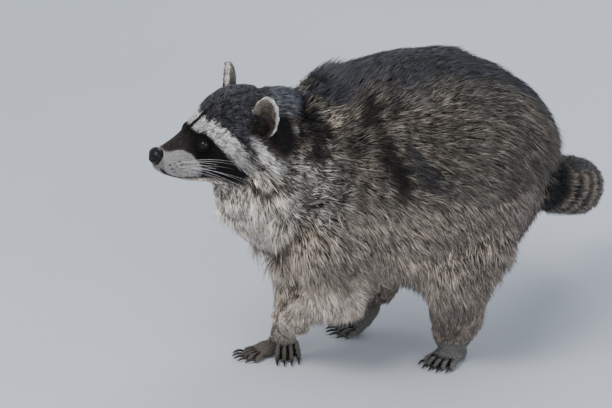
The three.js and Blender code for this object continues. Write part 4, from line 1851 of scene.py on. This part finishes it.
def coat_finish() -> Material:
    """Hair: dark at the root, pale below the tip, and some locks dark-tipped."""
    finish = Finish("coat", 0.5, Specular_IOR_Level=0.2, Sheen_Weight=0.04, Sheen_Roughness=0.4)
    tint = finish.attribute(TINT)
    strand = finish.node("ShaderNodeSeparateXYZ")
    finish.feed(strand.inputs[0], finish.attribute(STRAND).outputs["Vector"])
    share, tone, tip = strand.outputs
    grizzle = tint.outputs["Alpha"]
    root = finish.ramp(share, (0.0, 0.42), (0.35, 0.8), (0.65, 1.0))
    band = finish.ramp(share, (0.5, 0.0), (0.66, 1.0), (0.84, 1.0), (0.94, 0.15))
    band = finish.times(finish.math("SUBTRACT", band, 0.35), finish.times(grizzle, 1.1))
    tone = finish.times(finish.math("SUBTRACT", tone, 0.47), finish.times(grizzle, 3.2))
    varied = finish.math("MAXIMUM", finish.plus(tone, band, 1.0), 0.22)
    end = finish.ramp(share, (0.7, 0.0), (0.93, 1.0))
    dark_tip = finish.times(finish.math("LESS_THAN", tip, 0.45), grizzle, end)
    shade = finish.math("SUBTRACT", 1.0, finish.times(dark_tip, 0.8))
    patchy = finish.plus(finish.times(finish.noise(28.0), 0.6), 0.7)
    value = finish.times(varied, shade, patchy)
    finish.colour(finish.scaled(finish.scaled(tint.outputs["Color"], root), value))
    return finish.material


def skin_finish() -> Material:
    """Skin with its underfur: the coat's markings, darkened as painted shadow under the coat, and finely
    streaked.
    """
    finish = Finish("skin", 0.7, Specular_IOR_Level=0.1)
    tint = finish.attribute(TINT)
    streak = finish.plus(finish.times(finish.noise(900.0, 2.0), 0.9), 0.45)
    finish.colour(finish.scaled(tint.outputs["Color"], streak))
    finish.bump(finish.noise(1400.0, 2.0), 0.35, 0.7)
    return finish.material


def nose_finish() -> Material:
    """Moist pebbled black skin."""
    finish = Finish("nose_skin", 0.28, Specular_IOR_Level=0.22)
    tone = finish.noise(260.0)
    finish.colour(finish.ramp(tone, (0.3, (0.004, 0.004, 0.005)), (0.8, (0.012, 0.012, 0.013))))
    cells = finish.node("ShaderNodeTexVoronoi")
    cells.inputs["Scale"].default_value = 1500.0
    finish.feed(cells.inputs["Vector"], finish.node("ShaderNodeTexCoord").outputs["Object"])
    finish.bump(cells.outputs["Distance"], 0.1, 0.6)
    return finish.material


def eye_finish() -> Material:
    """A wet dark eye: black pupil, dark brown iris and nearly black white of the eye."""
    finish = Finish("eye", 0.03, Specular_IOR_Level=0.25)
    away = finish.attribute(GAZE_ANGLE).outputs["Fac"]
    rings = finish.ramp(
        away,
        (0.0, (0.004, 0.004, 0.004)), (0.14, (0.004, 0.004, 0.004)), (0.17, (0.010, 0.006, 0.004)),
        (0.33, (0.012, 0.007, 0.005)), (0.42, (0.006, 0.005, 0.004)), (0.6, (0.010, 0.008, 0.008)),
    )
    fibres = finish.plus(finish.times(finish.noise(1600.0, 3.0), 0.8), 0.6)
    finish.colour(finish.scaled(rings, fibres))
    return finish.material


def claw_finish() -> Material:
    """Dark horn, streaked along."""
    finish = Finish("claw", 0.3, Specular_IOR_Level=0.5)
    tone = finish.noise(420.0, 3.0, (1.0, 1.0, 0.4))
    finish.colour(finish.ramp(tone, (0.3, (0.012, 0.010, 0.009)), (0.75, (0.050, 0.040, 0.033))))
    finish.bump(finish.noise(2200.0, 2.0), 0.05, 0.5)
    return finish.material


def whisker_finish() -> Material:
    """White bristle."""
    finish = Finish("whisker", 0.35, Specular_IOR_Level=0.5)
    finish.colour(finish.ramp(finish.noise(300.0), (0.2, (0.62, 0.60, 0.57)), (0.8, (0.86, 0.85, 0.83))))
    return finish.material


def floor_finish() -> Material:
    """A pale matt floor."""
    finish = Finish("studio_floor", 0.85, Specular_IOR_Level=0.2)
    finish.colour(finish.ramp(finish.noise(1.6), (0.2, (0.60, 0.63, 0.68)), (0.8, (0.66, 0.69, 0.74))))
    return finish.material


# ---- eyes, nose, claws and whiskers ----


def placed(shape: bmesh.types.BMesh, head: Array) -> None:
    """Moves a shape's vertices to places in the head's frame."""
    for vertex, place in zip(shape.verts, PLACES.to_metres(PLACES.from_head(head))):
        vertex.co = place


@dataclass
class Eyes:
    """Two glossy eyeballs with a raised cornea."""

    cornea: float = 0.55
    cornea_edge: float = 36.0
    segments: int = 40
    rings: int = 44

    def build(self, material: Material) -> None:
        """Makes both eyeballs, each of which replaces its solid."""
        for side, word in SIDES.items():
            eye = EyeShape(side)
            shape = bmesh.new()
            counts = {"u_segments": self.segments, "v_segments": self.rings}
            bmesh.ops.create_uvsphere(shape, radius=eye.radius, **counts)
            bmesh.ops.recalc_face_normals(shape, faces=shape.faces)
            local = np.array([vertex.co for vertex in shape.verts])
            away = np.degrees(np.arccos(np.clip(local[:, 2] / eye.radius, -1, 1)))
            swell = self.cornea * np.cos(np.clip(away / self.cornea_edge, 0, 1) * math.pi / 2) ** 2
            local *= (1 + swell / eye.radius)[:, None]
            axes = eye.axes.copy()
            axes[0] *= 1 if eye.turns_right else -1
            placed(shape, local @ axes + eye.centre)
            mesh = finished(shape, "eyeball")
            store(mesh, GAZE_ANGLE, "FLOAT", "value", away / 90)
            finish_piece(linked(f"eyeball_{word}", mesh), material, "eye", f"eye_{word}")


@dataclass
class Nose:
    """The bare nose, with nostrils that open forward and to the sides."""

    centre: Triple = (0.0, -46.5, -14.5)
    radii: Triple = (10.5, 8.5, 9.5)
    nostril: Triple = (4.4, -53.5, -14.0)
    nostril_reach: Triple = (2.3, 4.0, 2.0)
    nostril_depth: float = 4.2
    slit: Pair = (7.0, -16.2)  # where the nostril's slit runs to the side: x and z
    slit_reach: Pair = (3.0, 0.8)
    slit_slope: float = 0.25
    slit_depth: float = 1.3
    groove_half: float = 0.7
    groove_depth: float = 0.8
    segments: int = 72
    rings: int = 56

    def build(self, material: Material) -> None:
        """Makes the nose, which replaces its solid."""
        shape = bmesh.new()
        bmesh.ops.create_uvsphere(shape, u_segments=self.segments, v_segments=self.rings, radius=1.0)
        local = np.array([vertex.co for vertex in shape.verts])
        x, y, z = local.T
        local[:, 2] -= 0.12 * np.maximum(z, 0) * np.maximum(-y, 0)
        local[:, 0] *= 1 - 0.22 * step(z, 0.1, -0.9)
        head = local * self.radii + self.centre
        normal = unit(local / np.array(self.radii))
        flip = np.where(head[:, :1] > 0, 1.0, MIRROR)
        offset = head - np.array(self.nostril) * flip
        hole = bell(*((offset[:, axis], 0, reach) for axis, reach in enumerate(self.nostril_reach)))
        slit = np.abs(head[:, 0]) - self.slit[0]
        wide, high = self.slit_reach
        wing = bell((slit, 0, wide), (head[:, 2] - self.slit[1] - self.slit_slope * slit, 0, high))
        groove = bell((head[:, 0], 0, self.groove_half)) * step(z, 0.25, -0.2)
        ahead = step(y, 0.0, -0.5)
        inward = self.nostril_depth * hole + (self.slit_depth * wing + self.groove_depth * groove) * ahead
        placed(shape, head - normal * inward[:, None])
        bmesh.ops.recalc_face_normals(shape, faces=shape.faces)
        finish_piece(linked("nose_pad", finished(shape, "nose")), material, "nose_skin", "nose")


@dataclass
class Claws:
    """The claws, each a smoothed copy of its solid."""

    levels: int = 2

    def build(self, material: Material) -> None:
        """Makes every claw."""
        for node in sorted(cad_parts):
            if not node.startswith("claw_"):
                continue
            piece = linked(f"horn_{node}", merged_solids([node], 0.05))
            smooth = piece.modifiers.new("smooth", "SUBSURF")
            smooth.levels = self.levels
            smooth.render_levels = self.levels
            finish_piece(piece, material, "claw", node)


@dataclass
class Whiskers:
    """The long bristles of the muzzle."""

    length: float = 92.0
    width: float = 0.4
    further: tuple[Pair, ...] = ((-20, -24), (-21, -18))  # roots behind those in the spots
    rings: int = 9
    seed: int = 5

    def build(self, skin: Surface, material: Material) -> None:
        """Makes the whiskers of both sides.

        Args:
            skin: carries their roots.
            material: their finish.
        """
        rng = np.random.default_rng(self.seed)
        tree = BVHTree.FromPolygons([Vector(p) for p in skin.body], skin.triangles.tolist())
        rows = []
        for side in SIDES:
            for number, (y, z) in enumerate([*HeadMarks.spots, *self.further]):
                start = PLACES.from_head([side * 60.0, y, z])
                place, normal, _, _ = tree.ray_cast(Vector(start), Vector(PLACES.turned([-side, 0.0, 0.0])))
                if place is None:
                    continue
                lift = 0.34 - 0.2 * (number % 3) + 0.1 * rng.random()
                way = PLACES.turned(unit(np.array([side * (0.3 + 0.25 * rng.random()), 0.9, lift])))
                size = self.length * (0.7 + 0.4 * rng.random())
                rows.append((np.array(place), np.array(normal), unit(way), size))
        root, normal, along, length = (np.array(column) for column in zip(*rows))
        count = len(root)
        zero = np.zeros(count)
        tint = np.ones((count, 4))
        locks = Locks(
            root, normal, along, length, 0.1 * length, np.full(count, self.width), 0.3 * length,
            np.zeros((count, 3)), tint, np.zeros((count, 2)), zero,
        )
        piece = linked("whiskers", locks.mesh("whiskers", self.rings))
        finish_piece(piece, material, "face_coat")
        LOG.info("whiskers: %d", count)


def finish_piece(piece: Piece, material: Material, slot: str, *nodes: str) -> None:
    """Dresses a piece, lets it ride on the body and names the solids that it replaces."""
    piece.data.materials.clear()
    piece.data.materials.append(material)
    piece.data.shade_smooth()
    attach(piece, BODY)
    if nodes:
        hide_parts(*nodes)


# ---- studio ----


@dataclass
class Studio:
    """Floor, light and camera."""

    target: Triple = (-74.633, -57.731, 148.847)
    azimuth: float = 75.0
    elevation: float = 20.0
    distance: float = 4000.0
    focus_pixels: float = 3636.4
    frame_width: float = 612.0
    sensor: float = 36.0
    floor_half: float = 9.0

    def build(self) -> None:
        """Makes the camera, the floor and the lights."""
        self.add_camera()
        self.add_floor()
        self.add_light("key", (1.1, -1.6, 2.6), 1.5, 52.0, (1.0, 0.965, 0.92))
        self.add_light("fill", (3.0, 0.6, 1.6), 2.2, 26.0, (0.92, 0.96, 1.0))
        self.add_light("rim", (-1.8, 1.6, 2.2), 1.4, 24.0, (0.95, 0.97, 1.0))
        world = bpy.data.worlds.new("studio_air")
        world.use_nodes = True
        background = world.node_tree.nodes["Background"]
        background.inputs["Color"].default_value = (0.80, 0.87, 0.98, 1)
        background.inputs["Strength"].default_value = 0.75
        bpy.context.scene.world = world

    def aim(self) -> tuple[Array, Array]:
        """The target in metres, and the direction from it to the camera."""
        turn, rise = math.radians(self.azimuth), math.radians(self.elevation)
        back = np.array([math.sin(turn) * math.cos(rise), -math.cos(turn) * math.cos(rise), math.sin(rise)])
        return PLACES.to_metres(np.array(self.target)), back

    def add_camera(self) -> None:
        """Sets the camera level, aimed at the target."""
        target, back = self.aim()
        data = bpy.data.cameras.new("camera")
        data.sensor_width = self.sensor
        data.lens = self.focus_pixels / self.frame_width * self.sensor
        data.clip_end = 100.0
        camera = linked("camera", data)
        camera.location = target + back * self.distance * MM
        camera.rotation_euler = Vector(-back).to_track_quat("-Z", "Y").to_euler()
        bpy.context.scene.camera = camera

    def add_floor(self) -> None:
        """Lays the floor."""
        shape = bmesh.new()
        bmesh.ops.create_grid(shape, x_segments=2, y_segments=2, size=self.floor_half)
        floor = linked("studio_floor", finished(shape, "floor"))
        floor.data.materials.append(floor_finish())

    @staticmethod
    def add_light(name: str, place: tuple, size: float, power: float, colour: tuple) -> None:
        """Hangs a square soft light that faces the animal."""
        data = bpy.data.lights.new(name, "AREA")
        data.size = size
        data.energy = power
        data.color = colour
        light = linked(name, data)
        light.location = place
        aim = Vector((0, 0, 0.15)) - Vector(place)
        light.rotation_euler = aim.to_track_quat("-Z", "Y").to_euler()


# ---- assembly ----


def main() -> None:
    """Builds the raccoon and the studio."""
    logging.basicConfig(level=logging.INFO, format="%(relativeCreated)7d ms  %(message)s")
    Studio().build()
    anatomy = Anatomy()
    skin = Skin()
    surface = skin.build(anatomy)
    skin.dress(skin_finish())
    Eyes().build(eye_finish())
    Nose().build(nose_finish())
    Claws().build(claw_finish())
    Whiskers().build(surface, whisker_finish())
    coat = Coat(surface)
    hair = coat_finish()
    share = 1.0
    for patch in PATCHES:
        coat.build(patch, hair, share)


if __name__ == "__main__":
    main()
